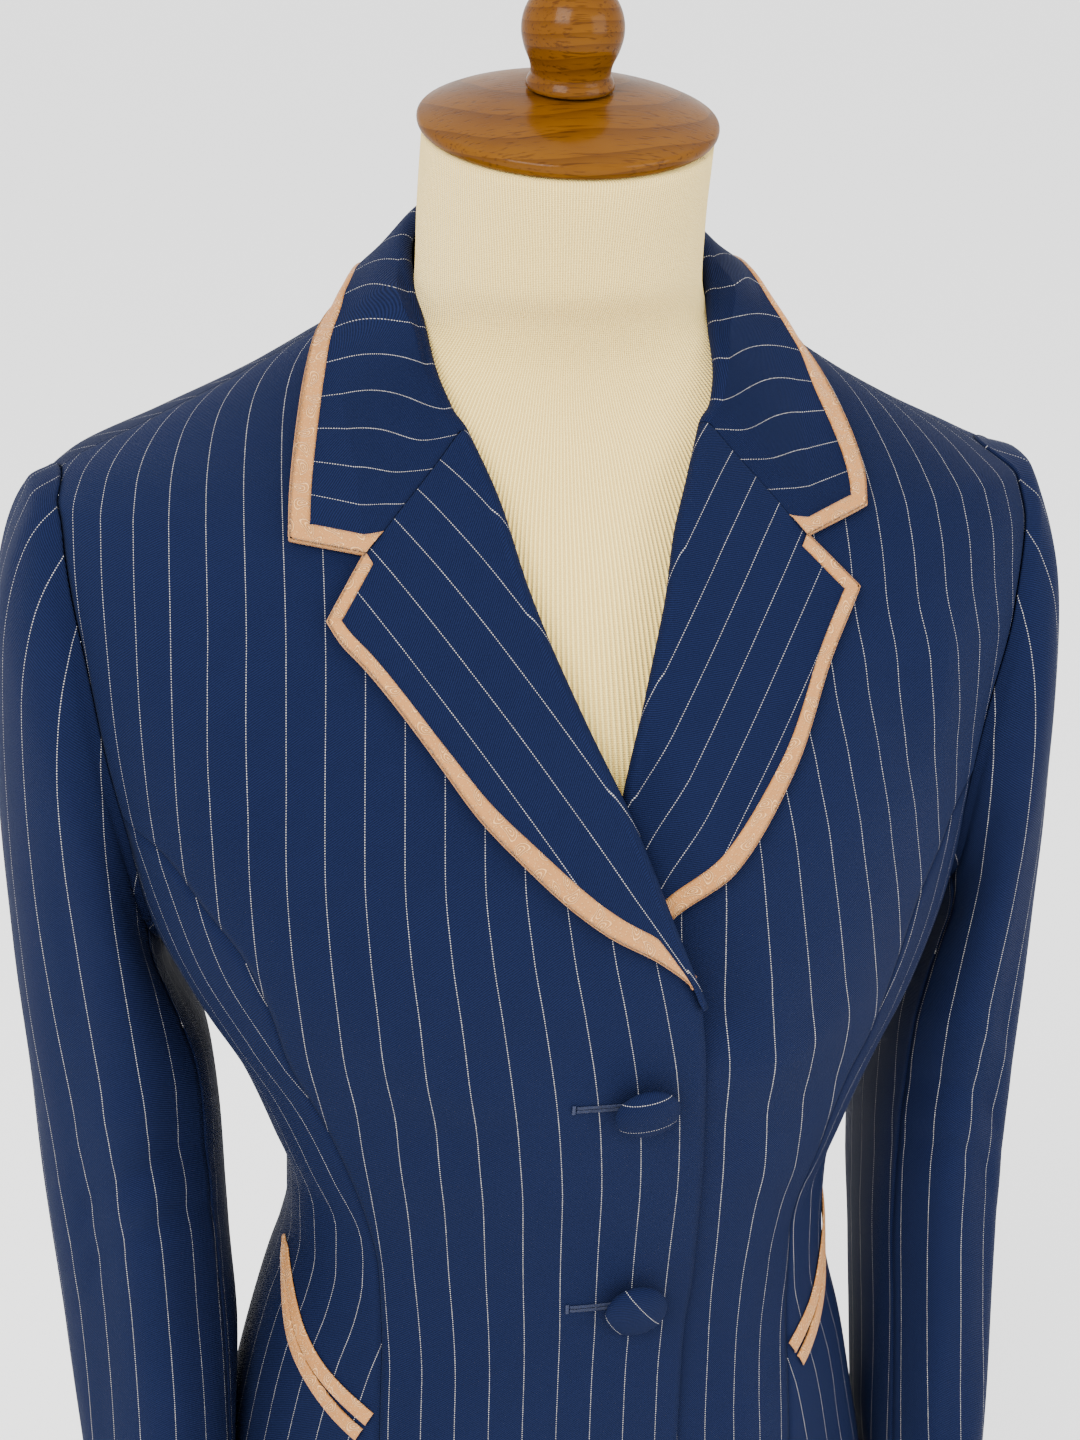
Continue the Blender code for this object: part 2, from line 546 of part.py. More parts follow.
def make_front(side):
    gorge = roll_line(side)[-1]
    neck = straight(shoulder_points(side)[0], gorge, FRONT_NECK_ROWS)[::-1]
    start = np.concatenate((front_edge(side), roll_line(side)[1:], neck[1:]))
    arm = armhole(side, FRONT_ARM_ANGLES[::-1])
    end = np.concatenate((princess_seam(side), arm[1:]))
    low = straight(start[0], end[0], FRONT_COLUMNS)
    domain = patch(start, end, low, shoulder_points(side))
    points = skin(domain[..., 0], domain[..., 1], layer(side, domain))
    points = trimmed(trimmed(points, SEAM_GAP, "r"), RIDGE_GAP, "t")
    neck_rows = points[-FRONT_NECK_ROWS:]
    neck_rows[:, 0] += unit(neck_rows[:, 1] - neck_rows[:, 0]) * NECK_GAP
    add_wall(f"{side}_front", points, WALL, NAVY, 0.85, flip=side == "right")
    return points


def make_side(side):
    start, end = princess_seam(side), side_back_seam(side)
    high = armhole(side, UNDER_ARM_ANGLES)
    domain = patch(start, end, straight(start[0], end[0], SIDE_COLUMNS), high)
    points = trimmed(skin(domain[..., 0], domain[..., 1]), SEAM_GAP)
    add_wall(f"{side}_side", points, WALL, NAVY, 0.85, flip=side == "right")
    return points


def make_back(side):
    sign = -1.0 if side == "right" else 1.0
    nape = (sign * math.pi, NAPE_LEVEL)
    start = straight((sign * math.pi, BODY[0, 0]), nape, SEAM_ROWS + BACK_ARM_ROWS)
    arm = armhole(side, BACK_ARM_ANGLES)
    end = np.concatenate((side_back_seam(side), arm[1:]))
    shoulder = shoulder_points(side)
    high = np.concatenate((straight(nape, shoulder[0], NECK_COLUMNS), shoulder[1:]))
    domain = patch(start, end, straight(start[0], end[0], NECK_COLUMNS + FRONT_COLUMNS), high)
    points = trimmed(trimmed(skin(domain[..., 0], domain[..., 1]), SEAM_GAP, "lr"), RIDGE_GAP, "t")
    neck_edge = points[-1, :NECK_COLUMNS + 1]
    neck_edge += unit(points[-2, :NECK_COLUMNS + 1] - neck_edge) * NECK_GAP
    add_wall(f"{side}_back", points, WALL, NAVY, 0.85, flip=side == "left")


# ---------------------------------------------------------------- lapels

ROLL_ANGLES = np.radians((0.0, 45.0, 90.0, 135.0, 180.0))
GORGE_COLUMNS = 5                          # columns from the roll to the notch
NOTCH_COLUMNS = 3                          # and from the notch to the peak or corner


def settled(distance, radius):
    """Height of a rolled piece's skin over what it lies on, at a distance from its roll."""
    top = 2.0 * radius - LAPEL_WALL
    edge = LAPEL_WALL + LAPEL_REST
    return edge + (top - edge) * (1.0 - ease(distance / ROLL_SETTLE))


def rolled(centre_line, across, normal, radius, base):
    """Columns of a roll about each point of a line, from under the front to over it."""
    middle = base + radius - LAPEL_WALL
    columns = []
    for angle in ROLL_ANGLES:
        sideways = -ROLL_GAP - radius * math.sin(angle)
        height = middle - radius * math.cos(angle)
        columns.append(centre_line + across * sideways[:, None] + normal * height[:, None])
    return np.stack(columns, axis=1)


def row_distance(points):
    """Distance of each grid point from its row's first point, along the row."""
    steps = np.linalg.norm(np.diff(points, axis=1), axis=2)
    return np.concatenate((np.zeros((len(points), 1)), np.cumsum(steps, axis=1)), axis=1)


FINE = 8                    # fine columns for each column of a lapel or collar while its edge band is laid out


def with_edge_band(fine):
    """Columns of a finely spaced grid of points: even ones up to the band, then the band and the edge."""
    columns = fine.shape[1] // FINE
    steps = np.linalg.norm(np.diff(fine[..., :3], axis=1), axis=2)
    to_edge = np.concatenate((np.cumsum(steps[:, ::-1], axis=1)[:, ::-1], np.zeros((len(fine), 1))), axis=1)
    found = []
    for row, distance in zip(fine, to_edge):
        band_start = np.interp(-min(BINDING_WIDTH, 0.6 * distance[0]), -distance, np.arange(len(row)))
        at = np.append(np.linspace(0.0, band_start, columns), len(row) - 1.0)
        found.append(np.stack([np.interp(at, np.arange(len(row)), values) for values in row.T], axis=-1))
    return np.stack(found)


def with_end_band(points, width):
    """The grid with its last row but one moved to a band's width from the last."""
    points = points.copy()
    distance = np.linalg.norm(points[-1, :, :3] - points[-2, :, :3], axis=-1, keepdims=True)
    points[-2] = points[-1] + (points[-2] - points[-1]) * np.minimum(width / distance, 1.0)
    return points


def notched_end(roll_end, notch, tip):
    """Fine domain points from the roll along the gorge seam to the notch, and on to the peak or corner."""
    tip_length = np.linalg.norm(place(BODY, *tip) - place(BODY, *notch))
    band_start = np.asarray(tip) + (np.asarray(notch) - np.asarray(tip)) * BINDING_WIDTH / tip_length
    return np.concatenate((
        straight(roll_end, notch, GORGE_COLUMNS * FINE),
        straight(notch, band_start, (NOTCH_COLUMNS - 1) * FINE)[1:],
        straight(band_start, tip, FINE)[1:],
    ))


def lapel_grid(side):
    """Outer skin of a lapel, rows from the break to the gorge and columns from the roll to the edge."""
    start = roll_line(side)
    edge = on_front(smooth_line(LAPEL_EDGE[side], ROLL_ROWS))
    notch = on_front(np.array([NOTCH[side]]))[0]
    high = notched_end(start[-1], notch, edge[-1])
    low = straight(start[0], edge[0], len(high) - 1)
    domain = patch(start, edge, low, high)
    traced = np.concatenate((place(BODY, domain[..., 0], domain[..., 1]), domain), axis=-1)
    domain = with_end_band(with_edge_band(traced), BINDING_WIDTH)[..., 3:]
    line = place(BODY, start[:, 0], start[:, 1])
    normal = body_normal(start[:, 0], start[:, 1])
    across = unit(np.cross(np.gradient(line, axis=0), normal))
    outwards = -1.0 if side == "right" else 1.0
    across *= outwards * np.sign(across[:, :1])
    rise = ease(np.linspace(0.0, 4.0, len(start)))
    radius = ROLL_RADIUS_AT_BREAK + (ROLL_RADIUS - ROLL_RADIUS_AT_BREAK) * rise
    distance = row_distance(place(BODY, domain[..., 0], domain[..., 1]))
    height = layer(side, domain) + settled(distance, radius[:, None])
    flat = skin(domain[..., 0], domain[..., 1], height)
    roll = rolled(line, across, normal, radius, layer(side, start))
    return np.concatenate((roll, flat[:, 1:]), axis=1)


def grid_normals(points, flip):
    across = np.gradient(points, axis=1)
    up = np.gradient(points, axis=0)
    normal = unit(np.cross(across, up))
    return -normal if flip else normal


def make_lapel(side):
    flip = side == "right"
    points = lapel_grid(side)
    whole = trimmed(points, SEAM_GAP, "t")
    add_wall(f"{side}_lapel", whole, LAPEL_WALL, NAVY, 0.85, flip=flip)
    raised = whole + grid_normals(whole, flip) * GAP
    last_row, last_column = points.shape[0] - 2, points.shape[1] - 2
    notch_column = last_column - NOTCH_COLUMNS + 1

    def bound(row, column):
        return row > 0 and (column == last_column or (row == last_row and column >= notch_column))

    add_wall(f"{side}_lapel_binding", raised, TRIM_WALL, BLUSH, 0.45, flip=flip, keep=bound, outwards=True)


# ---------------------------------------------------------------- collar

def collar_line(side):
    """Centre of the collar's crest from the gorge to the centre back."""
    sign = -1.0 if side == "right" else 1.0
    rows = np.array(COLLAR_ROLL)
    rows[:, 0] *= sign
    return smooth_line(rows, COLLAR_ROWS)


def collar_edge(side):
    """Outer edge of the fall, on the body's skin, from the corner to the centre back."""
    sign = -1.0 if side == "right" else 1.0
    plan = smooth_line([(sign * x, y) for x, y in COLLAR_EDGE[side]], COLLAR_ROWS)
    level = level_in_plan(plan[:, 0], plan[:, 1])
    return np.stack([np.arctan2(plan[:, 0], look_up(BODY, 5, level) - plan[:, 1]), level], axis=-1)


def neckline(side):
    """Neck seam from the gorge to the centre back."""
    sign = -1.0 if side == "right" else 1.0
    gorge = roll_line(side)[-1]
    neck = shoulder_points(side)[0]
    nape = np.array((sign * math.pi, NAPE_LEVEL))
    front_rows = COLLAR_ROWS * 2 // 5
    return np.concatenate((straight(gorge, neck, front_rows), straight(neck, nape, COLLAR_ROWS - front_rows)[1:]))


def collar_half(side):
    """Outer skin of half the collar: rows from the gorge to the centre back; stand, roll and fall."""
    sign = -1.0 if side == "right" else 1.0
    part = np.linspace(0.0, 1.0, COLLAR_ROWS + 1)
    lying = (1.0 - ease((part - 0.02) / COLLAR_SETTLE))[:, None]

    gorge = roll_line(side)[-1]
    seam = neckline(side)
    seam_normal = body_normal(seam[:, 0], seam[:, 1])
    crest = collar_line(side)
    run = unit(np.gradient(crest, axis=0))
    away = crest * np.array((1.0, 1.0, 0.0))
    away[-1] = (0.0, crest[-1, 1], 0.0)
    over = unit(lying * seam_normal + (1.0 - lying) * (unit(away) + np.array((0.0, 0.0, -0.25))))
    over = unit(over - run * np.sum(over * run, axis=1, keepdims=True))
    top = unit(np.cross(run, over))
    top *= np.sign(np.sum(top * (np.array((0.0, 0.0, 1.0)) - 0.6 * unit(away)), axis=1, keepdims=True))

    roll_start = place(BODY, *gorge)
    lapel_line = place(BODY, roll_line(side)[:, 0], roll_line(side)[:, 1])
    gorge_across = unit(np.cross(np.gradient(lapel_line, axis=0)[-1], body_normal(*gorge)))
    gorge_across *= sign * np.sign(gorge_across[0])
    top[0] = -gorge_across
    over[0] = body_normal(*gorge)
    middle = crest - top * ROLL_RADIUS
    middle[0] = roll_start + body_normal(*gorge) * (ROLL_RADIUS - LAPEL_WALL) - gorge_across * ROLL_GAP

    roll = np.stack([
        middle + ROLL_RADIUS * (math.sin(angle) * top - math.cos(angle) * over) for angle in ROLL_ANGLES
    ], axis=1)

    seam_point = place(BODY, seam[:, 0], seam[:, 1])
    toward_roll = unit(roll[:, 0] - seam_point + 1e-9)
    foot = seam_point - seam_normal * LAPEL_WALL + toward_roll * ROLL_GAP
    foot[0] = roll[0, 0]
    stand = foot[:, None] * np.array((1.0, 0.5))[None, :, None] + roll[:, :1] * np.array((0.0, 0.5))[None, :, None]

    edge = collar_edge(side)
    notch = on_front(np.array([NOTCH[side]]))[0]
    fine_count = (GORGE_COLUMNS + NOTCH_COLUMNS) * FINE
    across = np.linspace(0.0, 1.0, fine_count + 1)
    resting = skin(edge[:, 0], edge[:, 1], np.full(len(edge), LAPEL_WALL + LAPEL_REST))
    ruled = roll[:, -1:] + (resting - roll[:, -1])[:, None] * across[None, :, None]
    fall = raised_over_body(ruled)
    end = notched_end(gorge, notch, edge[0])
    end_distance = row_distance(place(BODY, end[:, 0], end[:, 1])[None])[0]
    end_row = skin(end[:, 0], end[:, 1], settled(end_distance, ROLL_RADIUS))
    straight_end = fall[0]
    for row in range(len(fall)):
        fade = (1.0 - ease(part[row] / 0.34))
        fall[row] += (end_row - straight_end) * fade
    fall = raised_over_body(fall)
    fall[0] = end_row
    fall = with_edge_band(fall)
    fall = with_end_band(fall[::-1], BINDING_WIDTH)[::-1]
    return np.concatenate((stand, roll, fall[:, 1:]), axis=1)


def raised_over_body(points):
    """The points, pushed out along the body's normal wherever they would lie closer to it than a resting fall."""
    level = points[..., 2]
    side_y = look_up(BODY, 5, level)
    turn = np.arctan2(points[..., 0], side_y - points[..., 1])
    for _ in range(4):
        foot = place(BODY, turn, level)
        gap = points - foot
        across = place(BODY, turn + 0.02, level) - place(BODY, turn - 0.02, level)
        up = place(BODY, turn, level + 0.002) - place(BODY, turn, level - 0.002)
        turn = turn + 0.04 * np.sum(gap * across, axis=-1) / np.sum(across * across, axis=-1)
        level = np.clip(level + 0.004 * np.sum(gap * up, axis=-1) / np.sum(up * up, axis=-1), 0.25, 0.436)
    normal = body_normal(turn, level)
    height = np.sum((points - place(BODY, turn, level)) * normal, axis=-1)
    lacking = LAPEL_WALL + LAPEL_REST + 0.0008 * ease((level - 0.340) / 0.03) - height
    softness = 0.0012
    push = np.where(level > 0.405, 0.0, softness * np.logaddexp(0.0, lacking / softness))
    return points + normal * push[..., None]


def make_collar():
    right, left = collar_half("right"), collar_half("left")
    centre = (right[-1] + left[-1]) / 2.0
    points = np.concatenate((right[:-1], centre[None], left[:-1][::-1]))
    points = trimmed(points, SEAM_GAP, "bt")
    add_wall("collar", points, LAPEL_WALL, NAVY, 0.85, flip=True)
    raised = points + grid_normals(points, True) * GAP
    last_row, last_column = points.shape[0] - 2, points.shape[1] - 2
    notch_column = last_column - NOTCH_COLUMNS + 1

    def bound(row, column):
        return column == last_column or (row in (0, last_row) and column >= notch_column)

    add_wall("collar_binding", raised, TRIM_WALL, BLUSH, 0.45, flip=True, keep=bound, outwards=True)


# ---------------------------------------------------------------- sleeves

def sleeve_rings(side):
    """Rings of a sleeve's outer skin from the armhole to the cuff, each from the top round the front."""
    sign = -1.0 if side == "right" else 1.0
    angles = np.concatenate((FRONT_ARM_ANGLES, UNDER_ARM_ANGLES[1:], BACK_ARM_ANGLES[1:-1]))
    top_column, under_column = (1, 4) if side == "right" else (2, 5)
    keys = np.arange(len(SLEEVES), dtype=float)
    stations = np.linspace(0.0, len(SLEEVES) - 1.0, SLEEVE_RINGS + 1)
    table = np.concatenate((keys[:, None], SLEEVES), axis=1)
    rings = []
    for station in stations:
        top_level, top_x = look_up(table, 1, station), look_up(table, 1 + top_column, station)
        low_level, low_x = look_up(table, 4, station), look_up(table, 1 + under_column, station)
        centre_y, half_depth = look_up(table, 7, station), look_up(table, 8, station)
        square = look_up(table, 9, station)
        cosine = np.sign(np.cos(angles)) * np.abs(np.cos(angles)) ** (2.0 / square)
        sine = np.sign(np.sin(angles)) * np.abs(np.sin(angles)) ** (2.0 / square)
        level = (top_level + low_level) / 2.0 + (top_level - low_level) / 2.0 * cosine
        x = (top_x + low_x) / 2.0 + (top_x - low_x) / 2.0 * cosine
        rings.append(np.stack([sign * x, centre_y - half_depth * sine, level], axis=-1))
    rings = np.stack(rings)
    hole = armhole(side, angles)
    hole_points = place(BODY, hole[:, 0], hole[:, 1])
    fade = (1.0 - ease(stations / 4.5))[:, None, None]
    rings += (hole_points - rings[0]) * fade
    rings = fold_sleeve(side, rings, angles)
    return clear_of_body(side, rings, ease(stations / 0.9)[:, None])


def clear_of_body(side, rings, amount):
    """The rings, moved out sideways wherever they would lie closer to the jacket's side than SLEEVE_AIR."""
    sign = -1.0 if side == "right" else 1.0
    x, y, level = rings[..., 0] * sign, rings[..., 1], np.maximum(rings[..., 2], FORM[0, 0])
    half, _, side_y, square = sizes(BODY, np.full_like(x, sign * math.pi / 2.0), level)
    depth = np.where(y < side_y, look_up(BODY, 3, level) + side_y, look_up(BODY, 4, level) - side_y)
    body_x = half * np.clip(1.0 - (np.abs(y - side_y) / depth) ** square, 0.0, 1.0) ** (1.0 / square)
    softness = 0.0015
    push = softness * np.logaddexp(0.0, (body_x + SLEEVE_AIR - x) / softness)
    rings = rings.copy()
    rings[..., 0] += sign * push * amount
    return rings


def fold_sleeve(side, rings, angles):
    """Long soft folds, pushed in or out from the sleeve's middle."""
    middle = rings.mean(axis=1, keepdims=True)
    outward = unit(rings - middle)
    push = np.zeros(rings.shape[:2])
    for turn, level, depth, turn_reach, level_reach in SLEEVE_FOLDS[side]:
        beside = (angles - turn + math.pi) % (2.0 * math.pi) - math.pi
        along = (rings[..., 2] - level) / level_reach
        push += depth * np.exp(-(beside / turn_reach) ** 2)[None, :] * np.exp(-along**2)
    push *= ease((0.235 - middle[..., 2]) / 0.08)
    return rings + outward * push[..., None]


def make_sleeve(side):
    rings = sleeve_rings(side)
    count = rings.shape[1]
    flip = side == "left"
    front = FRONT_SLEEVE_SEAM
    hind = count - BACK_SLEEVE_SEAM
    top_columns = [index % count for index in range(hind, count + front + 1)]
    under_columns = list(range(front, hind + 1))
    for name, columns in (("top_sleeve", top_columns), ("under_sleeve", under_columns)):
        points = trimmed(trimmed(rings[:, columns], SEAM_GAP, "lr"), 3.0 * SEAM_GAP, "b")
        add_wall(f"{side}_{name}", points, WALL, NAVY, 0.85, flip=flip)


# ---------------------------------------------------------------- pocket welts

def laid_on(panel, points, directions, height):
    """Points brought along their directions to a height over a panel, which is a grid of points."""
    rows, columns = panel.shape[:2]
    corners = [row * columns + column for row in range(rows - 1) for column in range(columns - 1)]
    faces = [(corner, corner + 1, corner + columns + 1, corner + columns) for corner in corners]
    tree = BVHTree.FromPolygons([tuple(point) for point in panel.reshape(-1, 3)], faces)
    found = []
    for point, direction in zip(points, directions):
        hit = tree.ray_cast(mathutils.Vector(point + direction * 0.02), mathutils.Vector(-direction), 0.04)[0]
        found.append(np.array(hit if hit else point) + direction * height)
    return np.array(found)


def make_welts(side, side_panel):
    line = smooth_line([(math.radians(turn), level) for turn, level in POCKET_LINE[side]], 12)
    slit = place(BODY, line[:, 0], line[:, 1])
    normal = body_normal(line[:, 0], line[:, 1])
    upwards = unit(np.cross(normal, np.gradient(slit, axis=0)))
    upwards *= np.sign(upwards[:, 2:])
    part = np.linspace(0.0, 1.0, len(line))[:, None]
    width = WELT_WIDTH_AT_SIDE + (WELT_WIDTH_AT_SEAM - WELT_WIDTH_AT_SIDE) * ease(part * 1.6)
    half_slit = GAP * 0.6 + 0.0007 * ease((part - 0.55) / 0.4)
    for name, way in (("upper", 1.0), ("lower", -1.0)):
        near = slit + upwards * way * half_slit
        columns = [near, near + upwards * way * width * 0.5, near + upwards * way * width]
        points = np.stack([laid_on(side_panel, column, normal, WELT_LIFT) for column in columns], axis=1)
        flip = (side == "right") == (name == "upper")
        add_wall(f"{side}_pocket_{name}_welt", points, TRIM_WALL, BLUSH, 0.45, flip=flip, outwards=True)


# ---------------------------------------------------------------- buttons, form and stand

def turned(name, profile, steps, colour, roughness, location=(0.0, 0.0, 0.0)):
    """A turned solid: (radius, height) rows from its top to its foot, both on the axis."""
    mesh = bpy.data.meshes.new(name)
    edges = [(index, index + 1) for index in range(len(profile) - 1)]
    mesh.from_pydata([(radius, 0.0, height) for radius, height in profile], edges, [])
    made = add_object(name, mesh, colour, roughness)
    made.location = location
    screw = made.modifiers.new("turn", "SCREW")
    screw.steps = steps
    screw.render_steps = steps
    screw.use_merge_vertices = True
    screw.merge_threshold = 0.00005
    return made


def make_button(name, front_panel):
    x, level = BUTTONS[name]
    turn = turn_at_x(x, level)
    normal = body_normal(turn, level)
    seat = laid_on(front_panel, [skin(turn, level)], [normal], 2.0 * GAP)[0] + np.array((0.0, 0.0, WAIST_HEIGHT))
    rise = BUTTON_HEIGHT - 0.0030
    dome = [
        (BUTTON_RADIUS * math.sin(angle), 0.0030 + rise * math.cos(angle))
        for angle in np.radians((0.0, 22.0, 44.0, 64.0, 80.0, 90.0))
    ]
    under = [(BUTTON_RADIUS * 0.94, 0.0018), (BUTTON_SHANK_RADIUS, 0.0014), (BUTTON_SHANK_RADIUS, 0.0), (0.0, 0.0)]
    made = turned(name, dome + under, 20, NAVY, 0.8, tuple(seat))
    made.rotation_mode = "QUATERNION"
    made.rotation_quaternion = mathutils.Vector((0.0, 0.0, 1.0)).rotation_difference(mathutils.Vector(normal))


def make_form():
    levels = (
        -0.245, -0.19, -0.12, -0.06, -0.02, 0.02, 0.06, 0.10, 0.14, 0.18, 0.22, 0.26, 0.295, 0.32,
        0.338, 0.352, 0.366, 0.380, 0.394, 0.410, 0.434, 0.461,
    )
    turns = np.linspace(0.0, 2.0 * math.pi, 24, endpoint=False)
    points = place(FORM, turns[None, :], np.array(levels)[:, None])
    points[-1, :, 2] += points[-1, :, 1] * math.tan(CAP_TILT)
    points[-2, :, 2] += 0.6 * points[-2, :, 1] * math.tan(CAP_TILT)
    rows, count = points.shape[:2]
    flat = points.reshape(-1, 3) + np.array((0.0, 0.0, WAIST_HEIGHT))
    faces = [tuple(range(count))[::-1], tuple(range((rows - 1) * count, rows * count))]
    for row in range(rows - 1):
        for column in range(count):
            after = (column + 1) % count
            faces.append((
                row * count + column, row * count + after, (row + 1) * count + after, (row + 1) * count + column
            ))
    mesh = bpy.data.meshes.new("form_torso")
    mesh.from_pydata([tuple(point) for point in flat], [], faces)
    add_object("form_torso", mesh, JERSEY, 0.9)


def make_stand():
    """Neck cap and finial above the form, pole and base below it."""
    cap_profile = (
        (0.0, CAP_RISE), (0.018, CAP_RISE * 0.96), (0.030, CAP_RISE * 0.83), (0.042, CAP_RISE * 0.58),
        (0.052, CAP_RISE * 0.30), (CAP_RADIUS - 0.0012, 0.0010), (CAP_RADIUS, -0.0014),
        (CAP_RADIUS - 0.0014, -0.0042), (CAP_RADIUS - 0.005, -CAP_UNDERSIDE), (0.0, -CAP_UNDERSIDE),
    )
    finial_profile = (
        (0.0, 0.0420), (0.0085, 0.0402), (0.0150, 0.0355), (0.0188, 0.0285), (0.0197, 0.0215),
        (0.0182, 0.0150), (0.0158, 0.0100), (0.0154, 0.0066), (0.0166, 0.0030), (0.0166, 0.0), (0.0, 0.0),
    )
    tilt = mathutils.Euler((CAP_TILT, 0.0, 0.0))
    centre = mathutils.Vector((0.0, 0.0, WAIST_HEIGHT + CAP_LEVEL))
    cap = turned("neck_cap", cap_profile, 36, WOOD, 0.35, centre)
    cap.rotation_euler = tilt
    finial_foot = centre + tilt.to_matrix() @ mathutils.Vector((0.0, 0.0, CAP_RISE + 0.0003))
    finial = turned("finial", finial_profile, 24, WOOD, 0.35, finial_foot)
    finial.rotation_euler = tilt
    form_foot = WAIST_HEIGHT + FORM[0, 0] - 0.0003
    pole_profile = (
        (0.0, form_foot), (0.030, form_foot), (0.032, form_foot - 0.006), (0.028, form_foot - 0.012),
        (POLE_RADIUS, form_foot - 0.020), (POLE_RADIUS, BASE_HEIGHT + 0.024), (0.022, BASE_HEIGHT + 0.012),
        (0.026, BASE_HEIGHT + 0.0003), (0.0, BASE_HEIGHT + 0.0003),
    )
    turned("stand_pole", pole_profile, 20, WOOD, 0.35)
    base_profile = (
        (0.0, BASE_HEIGHT), (0.045, BASE_HEIGHT), (0.060, BASE_HEIGHT - 0.004), (0.110, BASE_HEIGHT - 0.009),
        (BASE_RADIUS - 0.014, BASE_HEIGHT - 0.011), (BASE_RADIUS - 0.004, BASE_HEIGHT - 0.014),
        (BASE_RADIUS, BASE_HEIGHT - 0.019), (BASE_RADIUS - 0.002, 0.003), (BASE_RADIUS - 0.006, 0.0), (0.0, 0.0),
    )
    turned("stand_base", base_profile, 40, WOOD, 0.35)


fronts = {}
for wearer_side in ("right", "left"):
    fronts[wearer_side] = make_front(wearer_side)
    make_back(wearer_side)
    make_lapel(wearer_side)
    make_sleeve(wearer_side)
    make_welts(wearer_side, make_side(wearer_side))
make_collar()
for button_name in BUTTONS:
    make_button(button_name, fronts["right"])
make_form()
make_stand()
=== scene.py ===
"""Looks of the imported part: a showmanship suit jacket on a limbless dress form with a turned stand."""

import math

import bmesh
import bpy
import mathutils
import numpy as np
from mathutils.bvhtree import BVHTree
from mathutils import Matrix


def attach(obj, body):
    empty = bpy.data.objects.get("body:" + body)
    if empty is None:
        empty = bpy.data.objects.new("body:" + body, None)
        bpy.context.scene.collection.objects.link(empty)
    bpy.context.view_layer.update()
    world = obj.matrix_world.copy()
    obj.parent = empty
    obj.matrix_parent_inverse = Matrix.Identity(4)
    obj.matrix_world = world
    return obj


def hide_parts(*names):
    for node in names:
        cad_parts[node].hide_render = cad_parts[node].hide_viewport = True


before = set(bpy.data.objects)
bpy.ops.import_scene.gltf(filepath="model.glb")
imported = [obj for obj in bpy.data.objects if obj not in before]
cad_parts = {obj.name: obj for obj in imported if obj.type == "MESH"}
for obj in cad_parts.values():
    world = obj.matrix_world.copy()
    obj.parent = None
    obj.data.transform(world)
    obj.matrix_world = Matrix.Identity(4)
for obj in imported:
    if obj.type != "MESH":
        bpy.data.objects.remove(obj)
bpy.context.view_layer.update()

# ---------------------------------------------------------------- dress form
# A firm padded torso without limbs, in cream jersey knitted with fine upright ribs; painted shade darkens the
# furrows between them.
# The jersey's edge is closed in under the neck cap, and the jacket hangs on the form's shoulders.

WAIST = 0.500               # the jacket's waist above the floor; the tables give levels above it
CAP_TILT = math.radians(10.0)
RIB, NECK_RIBS = 0.0011, 311    # width of one rib of the jersey at the neck, and how many go round
JERSEY_STITCH = 0.0008
CREAM = (0.99, 0.77, 0.26)
# the dark cream below is the jersey's random darker tone and also the painted shade in its rib furrows
CREAM_DARK_AND_FURROW_SHADE = (0.66, 0.43, 0.105)

# level, right half width, left half width, front, back, y of the sides, right squareness, left squareness
RIGHT, LEFT, FRONT, BACK, SIDE_Y, RIGHT_SQUARE, LEFT_SQUARE = range(1, 8)
FORM = np.array((
    (-0.245, 0.1380, 0.1370, 0.1120, 0.1010, -0.003, 2.15, 2.15),
    (-0.210, 0.1420, 0.1410, 0.1140, 0.1040, -0.004, 2.15, 2.15),
    (-0.150, 0.1400, 0.1380, 0.1110, 0.1010, -0.006, 2.15, 2.15),
    (-0.100, 0.1330, 0.1290, 0.1060, 0.0910, -0.009, 2.15, 2.15),
    (-0.060, 0.1250, 0.1210, 0.1030, 0.0790, -0.011, 2.15, 2.15),
    (-0.030, 0.1160, 0.1130, 0.1010, 0.0710, -0.013, 2.15, 2.10),
    (0.000, 0.1070, 0.1075, 0.1000, 0.0650, -0.015, 2.15, 2.10),
    (0.030, 0.1070, 0.1080, 0.1010, 0.0640, -0.015, 2.15, 2.10),
    (0.060, 0.1160, 0.1170, 0.1060, 0.0660, -0.014, 2.15, 2.10),
    (0.090, 0.1280, 0.1290, 0.1120, 0.0700, -0.011, 2.15, 2.00),
    (0.120, 0.1430, 0.1430, 0.1180, 0.0760, -0.008, 2.20, 2.00),
    (0.160, 0.1600, 0.1550, 0.1215, 0.0830, -0.004, 2.20, 2.00),
    (0.200, 0.1710, 0.1620, 0.1180, 0.0880, 0.000, 2.30, 2.05),
    (0.240, 0.1800, 0.1700, 0.1080, 0.0900, 0.003, 2.40, 2.15),
    (0.280, 0.1850, 0.1770, 0.0910, 0.0890, 0.006, 2.40, 2.25),
    (0.310, 0.1830, 0.1750, 0.0755, 0.0850, 0.009, 2.30, 2.20),
    (0.335, 0.1740, 0.1560, 0.0590, 0.0800, 0.012, 2.10, 2.10),
    (0.350, 0.1567, 0.1360, 0.0500, 0.0760, 0.012, 1.95, 1.95),
    (0.365, 0.1240, 0.1092, 0.0385, 0.0710, 0.012, 1.80, 1.80),
    (0.380, 0.0830, 0.0800, 0.0330, 0.0640, 0.009, 1.80, 1.80),
    (0.393, 0.0615, 0.0580, 0.0360, 0.0550, 0.004, 1.90, 1.90),
    (0.410, 0.0586, 0.0535, 0.0475, 0.0540, 0.000, 2.00, 2.00),
    (0.430, 0.0580, 0.0540, 0.0500, 0.0540, 0.000, 2.00, 2.00),
    (0.461, 0.0560, 0.0560, 0.0560, 0.0560, 0.000, 2.00, 2.00),
))


def ease(value):
    """0 below 0, 1 above 1, and a smooth step between."""
    value = np.clip(value, 0.0, 1.0)
    return value * value * (3.0 - 2.0 * value)


